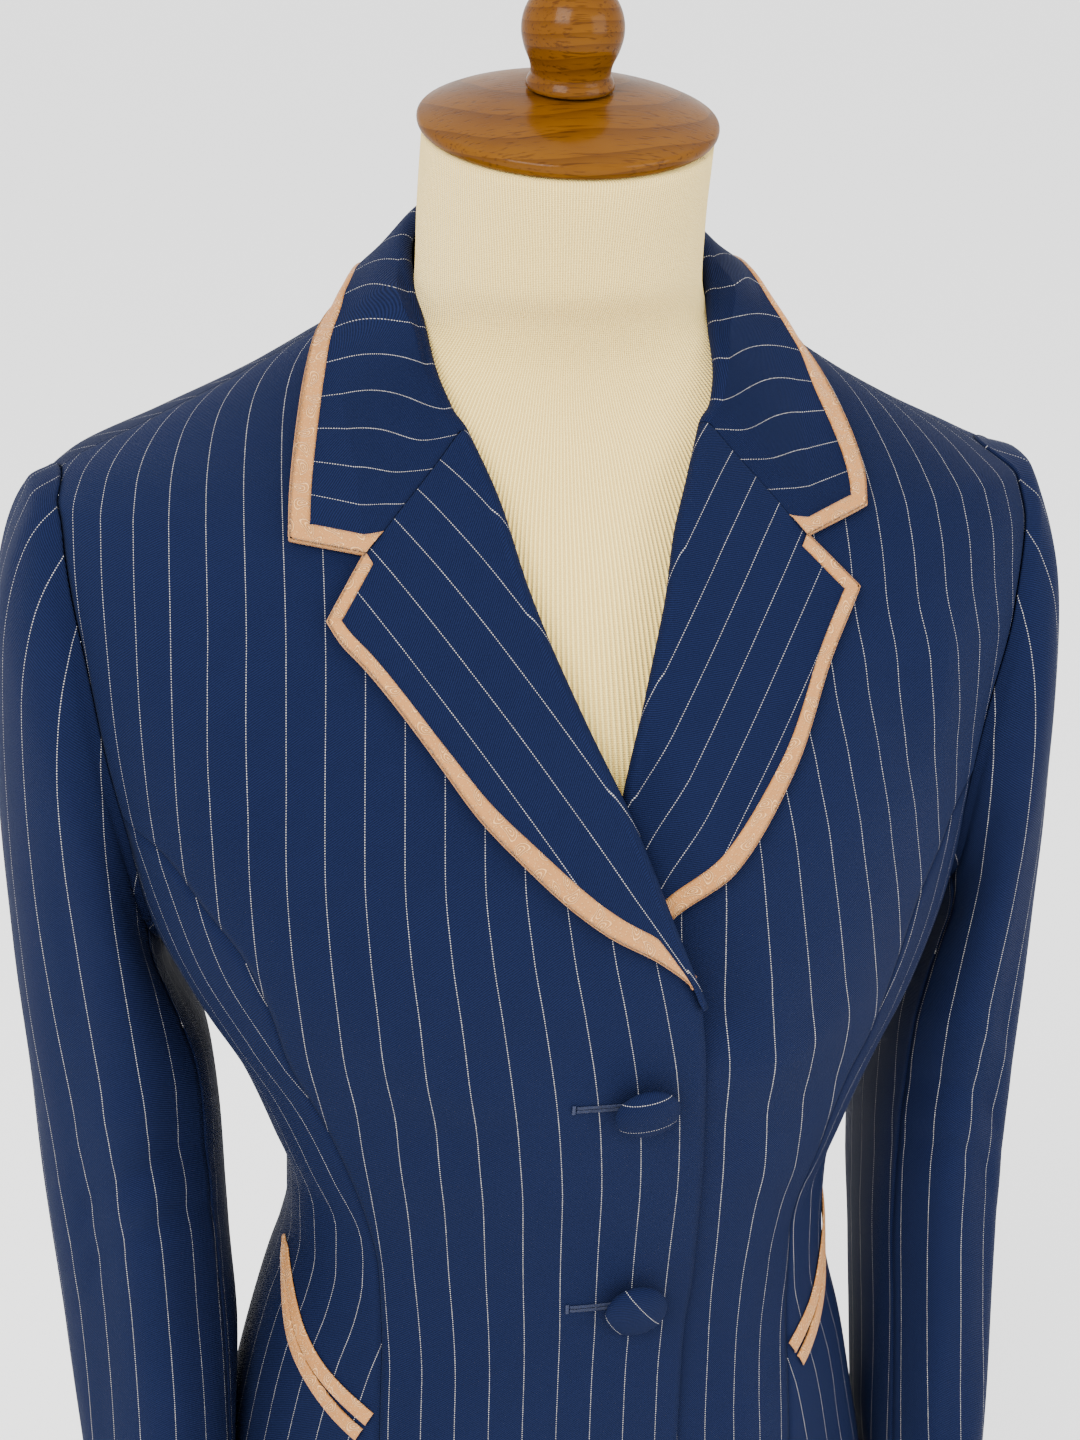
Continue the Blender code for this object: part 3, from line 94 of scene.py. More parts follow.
def look_up(table, column, at):
    """Column of a table at any value of its first column, smooth and without overshoot."""
    rising = table if table[0, 0] < table[-1, 0] else table[::-1]
    keys, values = rising[:, 0], rising[:, column]
    step = np.diff(keys)
    slope = np.diff(values) / step
    before, after = slope[:-1], slope[1:]
    before_weight, after_weight = 2.0 * step[1:] + step[:-1], step[1:] + 2.0 * step[:-1]
    same_way = before * after > 0.0
    safe_before, safe_after = np.where(same_way, before, 1.0), np.where(same_way, after, 1.0)
    mean = (before_weight + after_weight) / (before_weight / safe_before + after_weight / safe_after)
    tangent = np.concatenate(([slope[0]], np.where(same_way, mean, 0.0), [slope[-1]]))
    at = np.clip(at, keys[0], keys[-1])
    cell = np.clip(np.searchsorted(keys, at, side="right") - 1, 0, len(step) - 1)
    part = (at - keys[cell]) / step[cell]
    rest = 1.0 - part
    return (
        values[cell] * (1.0 + 2.0 * part) * rest**2
        + values[cell + 1] * part**2 * (3.0 - 2.0 * part)
        + step[cell] * part * rest * (tangent[cell] * rest - tangent[cell + 1] * part)
    )


def sizes(table, turn, level):
    """Half width, depth towards this turn, y of the sides and squareness, at points of a body table."""
    on_right = np.sin(turn) < 0.0
    side_y = look_up(table, SIDE_Y, level)
    half = np.where(on_right, look_up(table, RIGHT, level), look_up(table, LEFT, level))
    square = np.where(on_right, look_up(table, RIGHT_SQUARE, level), look_up(table, LEFT_SQUARE, level))
    front, back = look_up(table, FRONT, level) + side_y, look_up(table, BACK, level) - side_y
    return half, np.where(np.cos(turn) > 0.0, front, back), side_y, square


def place(table, turn, level):
    """Point of a body at a turn about +Z (0 at the front, + to the wearer's left) and a level."""
    turn, level = np.broadcast_arrays(np.asarray(turn, float), np.asarray(level, float))
    half, depth, side_y, square = sizes(table, turn, level)
    sideways, forward = np.abs(np.sin(turn) / half), np.abs(np.cos(turn) / depth)
    reach = (sideways ** square + forward ** square) ** (-1.0 / square)
    return np.stack([reach * np.sin(turn), side_y - reach * np.cos(turn), level], axis=-1)


def grid_faces(rows, columns, flip=False):
    faces = []
    for row in range(rows - 1):
        for column in range(columns - 1):
            corner = row * columns + column
            face = (corner, corner + 1, corner + columns + 1, corner + columns)
            faces.append(face[::-1] if flip else face)
    return faces


def add_piece(name, points, faces, flat, material, replaced=(), closed=False):
    """A piece of the part, from points with levels above the waist and their places on flat cloth."""
    mesh = bpy.data.meshes.new(name)
    mesh.from_pydata((points.reshape(-1, 3) + (0.0, 0.0, WAIST)).tolist(), [], faces)
    loops = np.empty(len(mesh.loops), int)
    mesh.loops.foreach_get("vertex_index", loops)
    mesh.uv_layers.new(name="cloth").data.foreach_set("uv", flat.reshape(-1, 2)[loops].ravel())
    if closed:
        joined = bmesh.new()
        joined.from_mesh(mesh)
        bmesh.ops.remove_doubles(joined, verts=joined.verts, dist=1e-6)
        joined.to_mesh(mesh)
        joined.free()
    mesh.shade_smooth()
    mesh.materials.append(material)
    made = bpy.data.objects.new(name, mesh)
    bpy.context.scene.collection.objects.link(made)
    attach(made, "root")
    if replaced:
        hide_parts(*replaced)
    return made


def node(tree, kind, inputs=None, **settings):
    """A shader node; each input is given a number, a colour or another node's output."""
    made = tree.nodes.new(kind)
    for key, value in settings.items():
        setattr(made, key, value)
    for key, value in (inputs or {}).items():
        if isinstance(value, bpy.types.NodeSocket):
            tree.links.new(value, made.inputs[key])
        else:
            made.inputs[key].default_value = value
    return made


def reckon(tree, operation, *values):
    return node(tree, "ShaderNodeMath", dict(enumerate(values)), operation=operation).outputs[0]


def blended(tree, amount, low, high):
    """A colour between two, by an amount that changes over the surface."""
    colours = zip((6, 7), (low, high))
    ends = {key: end if isinstance(end, bpy.types.NodeSocket) else (*end, 1.0) for key, end in colours}
    return node(tree, "ShaderNodeMix", {"Factor": amount, **ends}, data_type="RGBA").outputs[2]


def wave(tree, value, period):
    """A sine that rises and falls once in each period of a value."""
    return reckon(tree, "SINE", reckon(tree, "MULTIPLY", value, 2.0 * math.pi / period))


def noise(tree, where, scale, detail, roughness=0.5):
    inputs = {"Vector": where, "Scale": scale, "Detail": detail, "Roughness": roughness}
    return node(tree, "ShaderNodeTexNoise", inputs).outputs


def split(tree, vector):
    parts = node(tree, "ShaderNodeSeparateXYZ", {"Vector": vector}).outputs
    return parts["X"], parts["Y"]


def object_place(tree):
    return node(tree, "ShaderNodeTexCoord").outputs["Object"]


def cloth_place(tree):
    return node(tree, "ShaderNodeUVMap", uv_map="cloth").outputs["UV"]


def shader_group(name, inputs, outputs):
    """An empty node group with named sockets: the group, its inputs inside and its outputs inside."""
    group = bpy.data.node_groups.new(name, "ShaderNodeTree")
    for label, kind, value in inputs:
        socket = group.interface.new_socket(label, in_out="INPUT", socket_type=kind)
        if value is not None:
            socket.default_value = value
    for label, kind in outputs:
        group.interface.new_socket(label, in_out="OUTPUT", socket_type=kind)
    return group, group.nodes.new("NodeGroupInput").outputs, group.nodes.new("NodeGroupOutput").inputs


def placed_group(tree, group, inputs):
    """The outputs of a node group that is placed in a tree."""
    return node(tree, "ShaderNodeGroup", inputs, node_tree=group).outputs


def uneven_group():
    """Slow unevenness of a surface, by its place on the object: shade from handling, washing and age."""
    group, given, result = shader_group(
        "uneven shade", [("Size", "NodeSocketFloat", 0.05), ("Depth", "NodeSocketFloat", 0.5)],
        [("Shade", "NodeSocketFloat")],
    )
    scale = reckon(group, "DIVIDE", 1.0, given["Size"])
    cloud = noise(group, object_place(group), scale, 3.0, 0.6)[0]
    shade = reckon(group, "MULTIPLY_ADD", reckon(group, "SUBTRACT", cloud, 0.5), given["Depth"], 0.5)
    group.links.new(shade, result["Shade"])
    return group


UNEVEN = uneven_group()


def new_material(name, roughness, specular=0.5):
    """A material, its tree and its Principled shader, to which the varying nodes are added."""
    material = bpy.data.materials.new(name)
    material.use_nodes = True
    tree = material.node_tree
    shader = tree.nodes["Principled BSDF"]
    shader.inputs["Roughness"].default_value = roughness
    shader.inputs["Specular IOR Level"].default_value = specular
    return material, tree, shader


def add_relief(tree, shader, height, distance):
    bump = node(tree, "ShaderNodeBump", {"Height": height, "Strength": 1.0, "Distance": distance})
    tree.links.new(bump.outputs["Normal"], shader.inputs["Normal"])


def rib_jersey():
    material, tree, shader = new_material("rib_jersey", roughness=0.88, specular=0.2)
    across, up = split(tree, cloth_place(tree))
    rise = reckon(tree, "MULTIPLY_ADD", wave(tree, across, RIB), 0.5, 0.5)
    height = reckon(tree, "MULTIPLY_ADD", wave(tree, up, JERSEY_STITCH), 0.18, rise)
    shade = placed_group(tree, UNEVEN, {"Size": 0.06, "Depth": 0.5})["Shade"]
    # painted shade: the furrows between the ribs are coloured darker, added to the random tone
    painted_furrow_shade = reckon(tree, "MULTIPLY", reckon(tree, "SUBTRACT", 1.0, rise), 0.80)
    tone_and_furrow_shade = reckon(tree, "MULTIPLY_ADD", shade, 0.25, painted_furrow_shade)
    tree.links.new(blended(tree, tone_and_furrow_shade, CREAM, CREAM_DARK_AND_FURROW_SHADE), shader.inputs["Base Color"])
    shader.inputs["Sheen Weight"].default_value = 0.25
    add_relief(tree, shader, height, 0.00050)
    return material


def make_form():
    bottom, shoulder, top = FORM[0, 0], 0.30, FORM[-1, 0]
    levels = np.concatenate((np.linspace(bottom, shoulder, 56), np.linspace(shoulder + 0.006, top, 46)))
    turns = np.linspace(-math.pi, math.pi, 145)
    points = place(FORM, turns[None, :], levels[:, None])
    points[..., 2] += points[..., 1] * math.tan(CAP_TILT) * ease((levels - 0.40) / 0.061)[:, None]
    ribs = turns[None, :] / (2.0 * math.pi) * NECK_RIBS * RIB
    flat = np.stack(np.broadcast_arrays(ribs, levels[:, None]), axis=-1)
    rows, columns = points.shape[:2]
    ends = [list(range(columns - 1))[::-1], [(rows - 1) * columns + column for column in range(columns - 1)]]
    add_piece(
        "form_jersey_cover", points, grid_faces(rows, columns) + ends, flat, rib_jersey(),
        ["form_torso"], closed=True,
    )


make_form()

# ---------------------------------------------------------------- neck cap and finial
# A shallow dome of turned hardwood and a bulb-shaped finial, stained honey brown and varnished.
# The cap is screwed down on the neck over the jersey's edge, and the finial into the cap.

CAP_RADIUS, CAP_LEVEL, CAP_RISE, CAP_UNDERSIDE = 0.0580, 0.467, 0.0115, 0.0056
HONEY = (0.082, 0.027, 0.0020)
HONEY_DARK = (0.025, 0.0062, 0.0008)
HONEY_LIGHT = (0.120, 0.047, 0.0035)


def scaled(tree, vector, factor):
    return node(tree, "ShaderNodeVectorMath", {0: vector, "Scale": factor}, operation="SCALE").outputs[0]


def moved(tree, operation, first, second):
    return node(tree, "ShaderNodeVectorMath", {0: first, 1: second}, operation=operation).outputs[0]


def grain_group():
    """Growth rings of a turned blank, cut lengthways, with short pores."""
    group, given, result = shader_group(
        "wood grain",
        [("Ring", "NodeSocketFloat", 0.006), ("Bend", "NodeSocketFloat", 0.02),
         ("Offset", "NodeSocketVector", None)],
        [("Rings", "NodeSocketFloat"), ("Pores", "NodeSocketFloat")],
    )
    blank = moved(group, "ADD", object_place(group), given["Offset"])
    cloud = moved(group, "SUBTRACT", noise(group, blank, 9.0, 2.0)["Color"], (0.5, 0.5, 0.5))
    bent = scaled(group, cloud, given["Bend"])
    lying = moved(group, "MULTIPLY", moved(group, "ADD", blank, bent), (0.12, 1.0, 1.0))
    from_heart = node(group, "ShaderNodeVectorMath", {0: lying}, operation="LENGTH").outputs["Value"]
    turns = reckon(group, "DIVIDE", from_heart, given["Ring"])
    late = reckon(group, "POWER", reckon(group, "FRACT", turns), 2.2)
    group.links.new(late, result["Rings"])
    speck = noise(group, moved(group, "MULTIPLY", blank, (60.0, 900.0, 900.0)), 1.0, 2.0)[0]
    pore = reckon(group, "MULTIPLY", reckon(group, "SUBTRACT", speck, 0.56), 9.0)
    pore = reckon(group, "SMOOTH_MIN", 1.0, pore, 0.1)
    group.links.new(reckon(group, "MAXIMUM", pore, 0.0), result["Pores"])
    return group


GRAIN = grain_group()


def varnished_wood(name, ring, offset, roughness, body=HONEY):
    material, tree, shader = new_material(name, roughness, specular=0.015)
    grain = placed_group(tree, GRAIN, {"Ring": ring, "Offset": offset})
    shade = placed_group(tree, UNEVEN, {"Size": 0.03, "Depth": 1.4})["Shade"]
    warm = blended(tree, shade, body, HONEY_LIGHT)
    ringed = blended(tree, reckon(tree, "MULTIPLY", grain["Rings"], 0.45), warm, HONEY_DARK)
    pored = blended(tree, reckon(tree, "MULTIPLY", grain["Pores"], 0.55), ringed, HONEY_DARK)
    tree.links.new(pored, shader.inputs["Base Color"])
    worn = reckon(tree, "MULTIPLY_ADD", shade, 0.22, roughness - 0.09)
    tree.links.new(worn, shader.inputs["Roughness"])
    shader.inputs["Coat Weight"].default_value = 0.12
    shader.inputs["Coat Roughness"].default_value = 0.14
    add_relief(tree, shader, reckon(tree, "SUBTRACT", 1.0, grain["Pores"]), 0.00006)
    return material


def rounded_profile(rows):
    """The rows with each corner cut back three times, so that the turned edge is soft."""
    rows = np.array(rows)
    for _ in range(3):
        cut = np.stack([rows[:-1] * 0.75 + rows[1:] * 0.25, rows[:-1] * 0.25 + rows[1:] * 0.75], axis=1)
        rows = np.concatenate((rows[:1], cut.reshape(-1, 2), rows[-1:]))
    return rows


def turned(profile, sides):
    """Grid of points of a profile's (radius, height) rows turned about the upright axis, and the turns."""
    turns = np.linspace(0.0, 2.0 * math.pi, sides + 1)
    radius, height = profile[:, :1], profile[:, 1:]
    return np.stack([radius * np.sin(turns), -radius * np.cos(turns), height + 0.0 * turns], axis=-1), turns


def run_length(points):
    """Distance of each point from the first, along the line through them."""
    return np.concatenate(([0.0], np.cumsum(np.linalg.norm(np.diff(points, axis=0), axis=1))))


def turned_piece(name, profile, material, foot, tilt, replaced):
    """A turned piece from (radius, height) rows, standing at its foot."""
    profile = rounded_profile(profile)
    points, turns = turned(profile, 96)
    run = run_length(profile)
    flat = np.stack(np.broadcast_arrays(turns[None, :] * 0.02, run[:, None]), axis=-1)
    lean = np.array(mathutils.Euler((tilt, 0.0, 0.0)).to_matrix())
    points = points @ lean.T + np.array(foot)
    faces = grid_faces(*points.shape[:2])
    add_piece(name, points, faces, flat, material, replaced, closed=True)


cap_lean = np.array(mathutils.Euler((CAP_TILT, 0.0, 0.0)).to_matrix())
cap_centre = np.array((0.0, 0.0, CAP_LEVEL))
turned_piece(
    "turned_neck_cap",
    (
        (0.0, -CAP_UNDERSIDE), (0.030, -CAP_UNDERSIDE), (CAP_RADIUS - 0.006, -CAP_UNDERSIDE),
        (CAP_RADIUS - 0.003, -CAP_UNDERSIDE + 0.0002), (CAP_RADIUS - 0.0008, -0.0036), (CAP_RADIUS, -0.0014),
        (CAP_RADIUS - 0.0004, 0.0008), (CAP_RADIUS - 0.003, 0.0020), (0.052, CAP_RISE * 0.30),
        (0.042, CAP_RISE * 0.58), (0.030, CAP_RISE * 0.83), (0.018, CAP_RISE * 0.96), (0.008, CAP_RISE),
        (0.0, CAP_RISE),
    ),
    varnished_wood("cap_wood", 0.0065, (0.05, 0.06, 0.11), 0.34), cap_centre, CAP_TILT, ["neck_cap"],
)
turned_piece(
    "turned_finial",
    (
        (0.0, 0.0), (0.010, 0.0), (0.0168, 0.0), (0.0170, 0.0016), (0.0166, 0.0032), (0.0153, 0.0052),
        (0.0153, 0.0070), (0.0158, 0.0100), (0.0182, 0.0150), (0.0198, 0.0215), (0.0189, 0.0288),
        (0.0150, 0.0358), (0.0085, 0.0404), (0.0, 0.0420),
    ),
    varnished_wood("finial_wood", 0.0048, (0.03, 0.05, 0.02), 0.30),
    cap_centre + cap_lean @ np.array((0.0, 0.0, CAP_RISE + 0.0003)), CAP_TILT, ["finial"],
)

# ---------------------------------------------------------------- stand
# A turned pole under the form, let into a heavy round foot; the same wood, a little darker and duller.
# The photograph ends above them, so both are plain turned work of the usual size.

POLE_RADIUS, BASE_RADIUS, BASE_HEIGHT = 0.0160, 0.150, 0.028

stand_wood = varnished_wood("stand_wood", 0.0075, (0.30, 0.07, 0.03), 0.42, body=(0.070, 0.026, 0.003))
pole_top = FORM[0, 0] - 0.0003
pole_foot = BASE_HEIGHT - WAIST
turned_piece(
    "turned_pole",
    (
        (0.0, pole_foot + 0.0003), (0.014, pole_foot + 0.0003), (0.0262, pole_foot + 0.0003),
        (0.0262, pole_foot + 0.004), (0.0225, pole_foot + 0.012), (0.0165, pole_foot + 0.024),
        (POLE_RADIUS, pole_foot + 0.040),
        (POLE_RADIUS, pole_top - 0.030), (POLE_RADIUS, pole_top - 0.020), (0.028, pole_top - 0.012),
        (0.0322, pole_top - 0.006), (0.0305, pole_top), (0.018, pole_top), (0.0, pole_top),
    ),
    stand_wood, (0.0, 0.0, 0.0), 0.0, ["stand_pole"],
)
turned_piece(
    "turned_foot",
    (
        (0.0, 0.0), (0.100, 0.0), (BASE_RADIUS - 0.006, 0.0), (BASE_RADIUS - 0.002, 0.002),
        (BASE_RADIUS, 0.006), (BASE_RADIUS, BASE_HEIGHT - 0.018), (BASE_RADIUS - 0.004, BASE_HEIGHT - 0.0135),
        (BASE_RADIUS - 0.014, BASE_HEIGHT - 0.011), (0.110, BASE_HEIGHT - 0.009),
        (0.060, BASE_HEIGHT - 0.004), (0.052, BASE_HEIGHT - 0.0006), (0.045, BASE_HEIGHT), (0.0, BASE_HEIGHT),
    ),
    stand_wood, (0.0, 0.0, -WAIST), 0.0, ["stand_base"],
)

# ---------------------------------------------------------------- jacket body
# Six panels of navy worsted: two backs, two sides and two fronts, joined by pressed-open seams that
# curve from the armholes to the hem. The twill's white pin stripes run up and down each panel.

SIGN = {"right": -1.0, "left": 1.0}     # the wearer's sides along X
CLOTH = 0.0014              # thickness of a body or sleeve panel
SEAM = 0.00015              # what each panel gives up at a seam
SEAM_DIP = 0.00055          # how far its edge turns down into the seam
SEAM_ROWS, FRONT_ARM_ROWS, BACK_ARM_ROWS = 84, 50, 50
FRONT_EDGE_ROWS, ROLL_ROWS = 52, 66
FRONT_NECK_ROWS = SEAM_ROWS + FRONT_ARM_ROWS - FRONT_EDGE_ROWS - ROLL_ROWS
SIDE_COLUMNS, FRONT_COLUMNS, NECK_COLUMNS = 40, 44, 22
STRIPE, STRIPE_WIDTH, STRIPE_STITCH = 0.01510, 0.00030, 0.00100     # spacing, width and stitch length
TWILL = 0.00080             # pitch of the twill's ribs
# the dark navy is the cloth's random darker tone and also the painted shade in the twill's grooves
NAVY, NAVY_DARK_AND_GROOVE_SHADE = (0.0046, 0.0088, 0.0360), (0.0012, 0.0026, 0.0120)
STRIPE_WHITE = (0.46, 0.44, 0.41)

# the worn jacket's shape, in the columns of the form's table
BODY = np.array((
    (-0.210, 0.1555, 0.1540, 0.1280, 0.118, -0.003, 2.30, 2.30),
    (-0.150, 0.1500, 0.1480, 0.1220, 0.112, -0.005, 2.30, 2.30),
    (-0.100, 0.1430, 0.1390, 0.1170, 0.101, -0.008, 2.30, 2.25),
    (-0.060, 0.1350, 0.1310, 0.1140, 0.089, -0.010, 2.30, 2.25),
    (-0.030, 0.1270, 0.1235, 0.1120, 0.081, -0.012, 2.30, 2.20),
    (-0.010, 0.1205, 0.1190, 0.1110, 0.076, -0.014, 2.30, 2.20),
    (0.010, 0.1165, 0.1175, 0.1115, 0.074, -0.015, 2.30, 2.20),
    (0.030, 0.1165, 0.1180, 0.1130, 0.074, -0.015, 2.30, 2.20),
    (0.060, 0.1255, 0.1270, 0.1180, 0.076, -0.013, 2.35, 2.20),
    (0.090, 0.1370, 0.1400, 0.1240, 0.080, -0.011, 2.40, 2.12),
    (0.120, 0.1540, 0.1550, 0.1300, 0.086, -0.008, 2.45, 2.05),
    (0.160, 0.1730, 0.1680, 0.1340, 0.093, -0.004, 2.55, 2.05),
    (0.200, 0.1840, 0.1750, 0.1300, 0.098, 0.000, 2.70, 2.12),
    (0.240, 0.1940, 0.1830, 0.1190, 0.100, 0.003, 2.90, 2.30),
    (0.280, 0.2020, 0.1910, 0.1020, 0.099, 0.006, 2.95, 2.55),
    (0.310, 0.2060, 0.1955, 0.0860, 0.095, 0.009, 2.70, 2.50),
    (0.325, 0.2050, 0.1920, 0.0760, 0.092, 0.011, 2.45, 2.35),
    (0.335, 0.1960, 0.1735, 0.0690, 0.090, 0.012, 2.30, 2.25),
    (0.350, 0.1640, 0.1420, 0.0570, 0.087, 0.012, 2.15, 2.10),
    (0.365, 0.1310, 0.1150, 0.0455, 0.083, 0.012, 2.05, 2.05),
    (0.380, 0.1030, 0.0930, 0.0380, 0.080, 0.012, 2.00, 2.00),
    (0.393, 0.0825, 0.0785, 0.0345, 0.077, 0.012, 2.00, 2.00),
    (0.410, 0.0700, 0.0700, 0.0340, 0.074, 0.012, 2.00, 2.00),
    (0.440, 0.0660, 0.0660, 0.0400, 0.072, 0.010, 2.00, 2.00),
))

# lines of the cut, as x and level on the body
FRONT_EDGE = (
    (0.0200, -0.2100), (0.0320, -0.1980), (0.0345, -0.1700), (0.0350, -0.1100), (0.0364, -0.0415),
    (0.0382, -0.0065), (0.0407, 0.0150), (0.0409, 0.0431), (0.0404, 0.0773), (0.0384, 0.1060),
    (0.0362, 0.1330), (0.0334, 0.1517),
)
CLOSING_X = 0.0135          # the two front edges lie evenly to each side of this line
ROLL_LINE = {
    "right": (
        (0.0334, 0.1517), (0.0163, 0.1915), (0.0012, 0.2295), (-0.0144, 0.2630),
        (-0.0264, 0.2915), (-0.0318, 0.3065), (-0.0408, 0.3380), (-0.0487, 0.3565),
    ),
    "left": (
        (-0.0110, 0.1517), (-0.0025, 0.1915), (0.0060, 0.2270), (0.0124, 0.2555),
        (0.0225, 0.2895), (0.0256, 0.2990), (0.0328, 0.3250), (0.0398, 0.3410), (0.0470, 0.3565),
    ),
}
PRINCESS_SEAM = {
    "right": (
        (-0.0960, -0.2100), (-0.0890, -0.1000), (-0.0865, -0.0433), (-0.0855, 0.0033), (-0.0881, 0.0287),
        (-0.0965, 0.0613), (-0.1041, 0.0811), (-0.1226, 0.1229), (-0.1289, 0.1469), (-0.1398, 0.1725),
        (-0.1506, 0.1855), (-0.1700, 0.2080),
    ),
    "left": (
        (0.0960, -0.2100), (0.0910, -0.1000), (0.0895, -0.0433), (0.0890, 0.0033), (0.0910, 0.0287),
        (0.0985, 0.0613), (0.1050, 0.0811), (0.1190, 0.1229), (0.1250, 0.1469), (0.1335, 0.1725),
        (0.1425, 0.1880), (0.1560, 0.2080),
    ),
}
SIDE_BACK_SEAM = {
    "right": (
        (-0.1130, -0.2100), (-0.1000, -0.1300), (-0.0880, -0.0600), (-0.0800, 0.0000), (-0.0830, 0.0350),
        (-0.0970, 0.0800), (-0.1150, 0.1250), (-0.1360, 0.1700),
    ),
    "left": (
        (0.1130, -0.2100), (0.1000, -0.1300), (0.0880, -0.0600), (0.0800, 0.0000), (0.0830, 0.0350),
        (0.0930, 0.0800), (0.1060, 0.1250), (0.1210, 0.1700),
    ),
}
NECKLINE_SIDE_LEVEL, NAPE_LEVEL = 0.393, 0.398
SHOULDER_SEAM_TURN, SIDE_GRAIN_TURN = math.radians(94.0), math.radians(84.0)
ARMHOLE_CENTRE_Y, ARMHOLE_CENTRE_LEVEL = 0.006, 0.2350
ARMHOLE_HALF_DEPTH, ARMHOLE_HALF_HEIGHT = 0.060, 0.0990
# angles from the armhole's top round its front at which seams meet it, and how its points crowd to the top
PRINCESS_ANGLE, SIDE_BACK_ANGLE = math.radians(104.0), math.radians(254.0)
TOP_CROWDING = 1.35


def even_points(dense, count):
    run = run_length(dense)
    wanted = np.linspace(0.0, run[-1], count + 1)
    return np.stack([np.interp(wanted, run, dense[:, axis]) for axis in range(dense.shape[1])], axis=-1)


def smooth_line(rows, count):
    """count + 1 evenly spaced points of a smooth curve through the rows."""
    rows = np.asarray(rows, float)
    length = run_length(rows)
    tangents = np.gradient(rows, length, axis=0)
    fine = np.linspace(0.0, length[-1], 1600)
    cell = np.clip(np.searchsorted(length, fine, side="right") - 1, 0, len(rows) - 2)
    step = np.diff(length)[cell][:, None]
    part = (fine[:, None] - length[cell][:, None]) / step
    rest = 1.0 - part
    dense = (
        rows[cell] * (1.0 + 2.0 * part) * rest**2
        + rows[cell + 1] * part**2 * (3.0 - 2.0 * part)
        + step * part * rest * (tangents[cell] * rest - tangents[cell + 1] * part)
    )
    return even_points(dense, count)


def straight(start, end, count):
    part = np.linspace(0.0, 1.0, count + 1)[:, None]
    return np.asarray(start) * (1.0 - part) + np.asarray(end) * part


def unit(vectors):
    return vectors / np.maximum(np.linalg.norm(vectors, axis=-1, keepdims=True), 1e-12)


def body_normal(turn, level):
    nudge_turn, nudge_level = 0.02, 0.003
    across = place(BODY, turn + nudge_turn, level) - place(BODY, turn - nudge_turn, level)
    up = place(BODY, turn, level + nudge_level) - place(BODY, turn, level - nudge_level)
    return unit(np.cross(across, up))


def turn_at_x(x, level, back=False):
    """Turn of the body point at this x and level, on the front or the back."""
    x, level = np.broadcast_arrays(np.asarray(x, float), np.asarray(level, float))
    sideways = np.sign(x) * (math.pi / 2.0 + 0.4 if back else math.pi / 2.0 - 0.4)
    half, depth, _, square = sizes(BODY, sideways, level)
    reach = depth * (1.0 - np.clip(np.abs(x) / half, 0.0, 1.0) ** square) ** (1.0 / square)
    return np.arctan2(x, -reach if back else reach)


def on_front(points):
    points = np.asarray(points, float)
    return np.stack([turn_at_x(points[:, 0], points[:, 1]), points[:, 1]], axis=-1)


def on_back(points):
    points = np.asarray(points, float)
    return np.stack([turn_at_x(points[:, 0], points[:, 1], back=True), points[:, 1]], axis=-1)


def side_reach(side, y, level):
    """How far the body reaches sideways at this y and level, and the y of its sides there."""
    half, _, side_y, square = sizes(BODY, np.full_like(y, SIGN[side] * math.pi / 2.0), level)
    depth = np.where(y < side_y, look_up(BODY, FRONT, level) + side_y, look_up(BODY, BACK, level) - side_y)
    share = np.clip(1.0 - (np.abs(y - side_y) / depth) ** square, 0.0, 1.0)
    return half * share ** (1.0 / square), side_y


def armhole(side, angles):
    """Turn and level of armhole points, by their angle from the top round the front."""
    y = ARMHOLE_CENTRE_Y - ARMHOLE_HALF_DEPTH * np.sin(angles)
    level = ARMHOLE_CENTRE_LEVEL + ARMHOLE_HALF_HEIGHT * np.cos(angles)
    reach, side_y = side_reach(side, y, level)
    return np.stack([np.arctan2(SIGN[side] * reach, side_y - y), level], axis=-1)


def between(start, end, low, high, across, up):
    """Grid of points between two side curves and the lowest and highest rows."""
    ruled = start[:, None] * (1.0 - across) + end[:, None] * across
    stacked = low[None] * (1.0 - up) + high[None] * up
    corners = (
        low[0] * (1.0 - across) * (1.0 - up) + low[-1] * across * (1.0 - up)
        + high[0] * (1.0 - across) * up + high[-1] * across * up
    )
    return ruled + stacked - corners


def patch(start, end, low, high):
    """A panel's grid between its four edges, with its columns crowded towards the side seams."""
    run = np.linspace(0.0, 1.0, len(low))
    run = run + 0.035 * (np.sin(4.0 * math.pi * run) - 2.0 * np.sin(2.0 * math.pi * run))
    even = [np.linspace(0.0, 1.0, len(row)) for row in (low, high)]
    low, high = [
        np.stack([np.interp(run, keys, row[:, axis]) for axis in (0, 1)], axis=-1)
        for keys, row in zip(even, (low, high))
    ]
    up = np.linspace(0.0, 1.0, len(start))[:, None, None]
    return between(start, end, low, high, run[None, :, None], up)


def trimmed(points, amount, edges="lrbt"):
    """The grid with its named edges (l, r: first and last column; b, t: first and last row) drawn in."""
    moves = {"l": (np.s_[:, 0], np.s_[:, 1]), "r": (np.s_[:, -1], np.s_[:, -2]),
             "b": (np.s_[0, :], np.s_[1, :]), "t": (np.s_[-1, :], np.s_[-2, :])}
    shift = np.zeros_like(points)
    for edge in edges:
        outer, inner = moves[edge]
        shift[outer] += unit(points[inner] - points[outer]) * amount
    return points + shift


FRONT_ARM_ANGLES = PRINCESS_ANGLE * np.linspace(0.0, 1.0, FRONT_ARM_ROWS + 1) ** TOP_CROWDING
UNDER_ARM_ANGLES = np.linspace(PRINCESS_ANGLE, SIDE_BACK_ANGLE, SIDE_COLUMNS + 1)
BACK_ARM_ANGLES = 2.0 * math.pi - (2.0 * math.pi - SIDE_BACK_ANGLE) * (
    np.linspace(1.0, 0.0, BACK_ARM_ROWS + 1) ** TOP_CROWDING
)

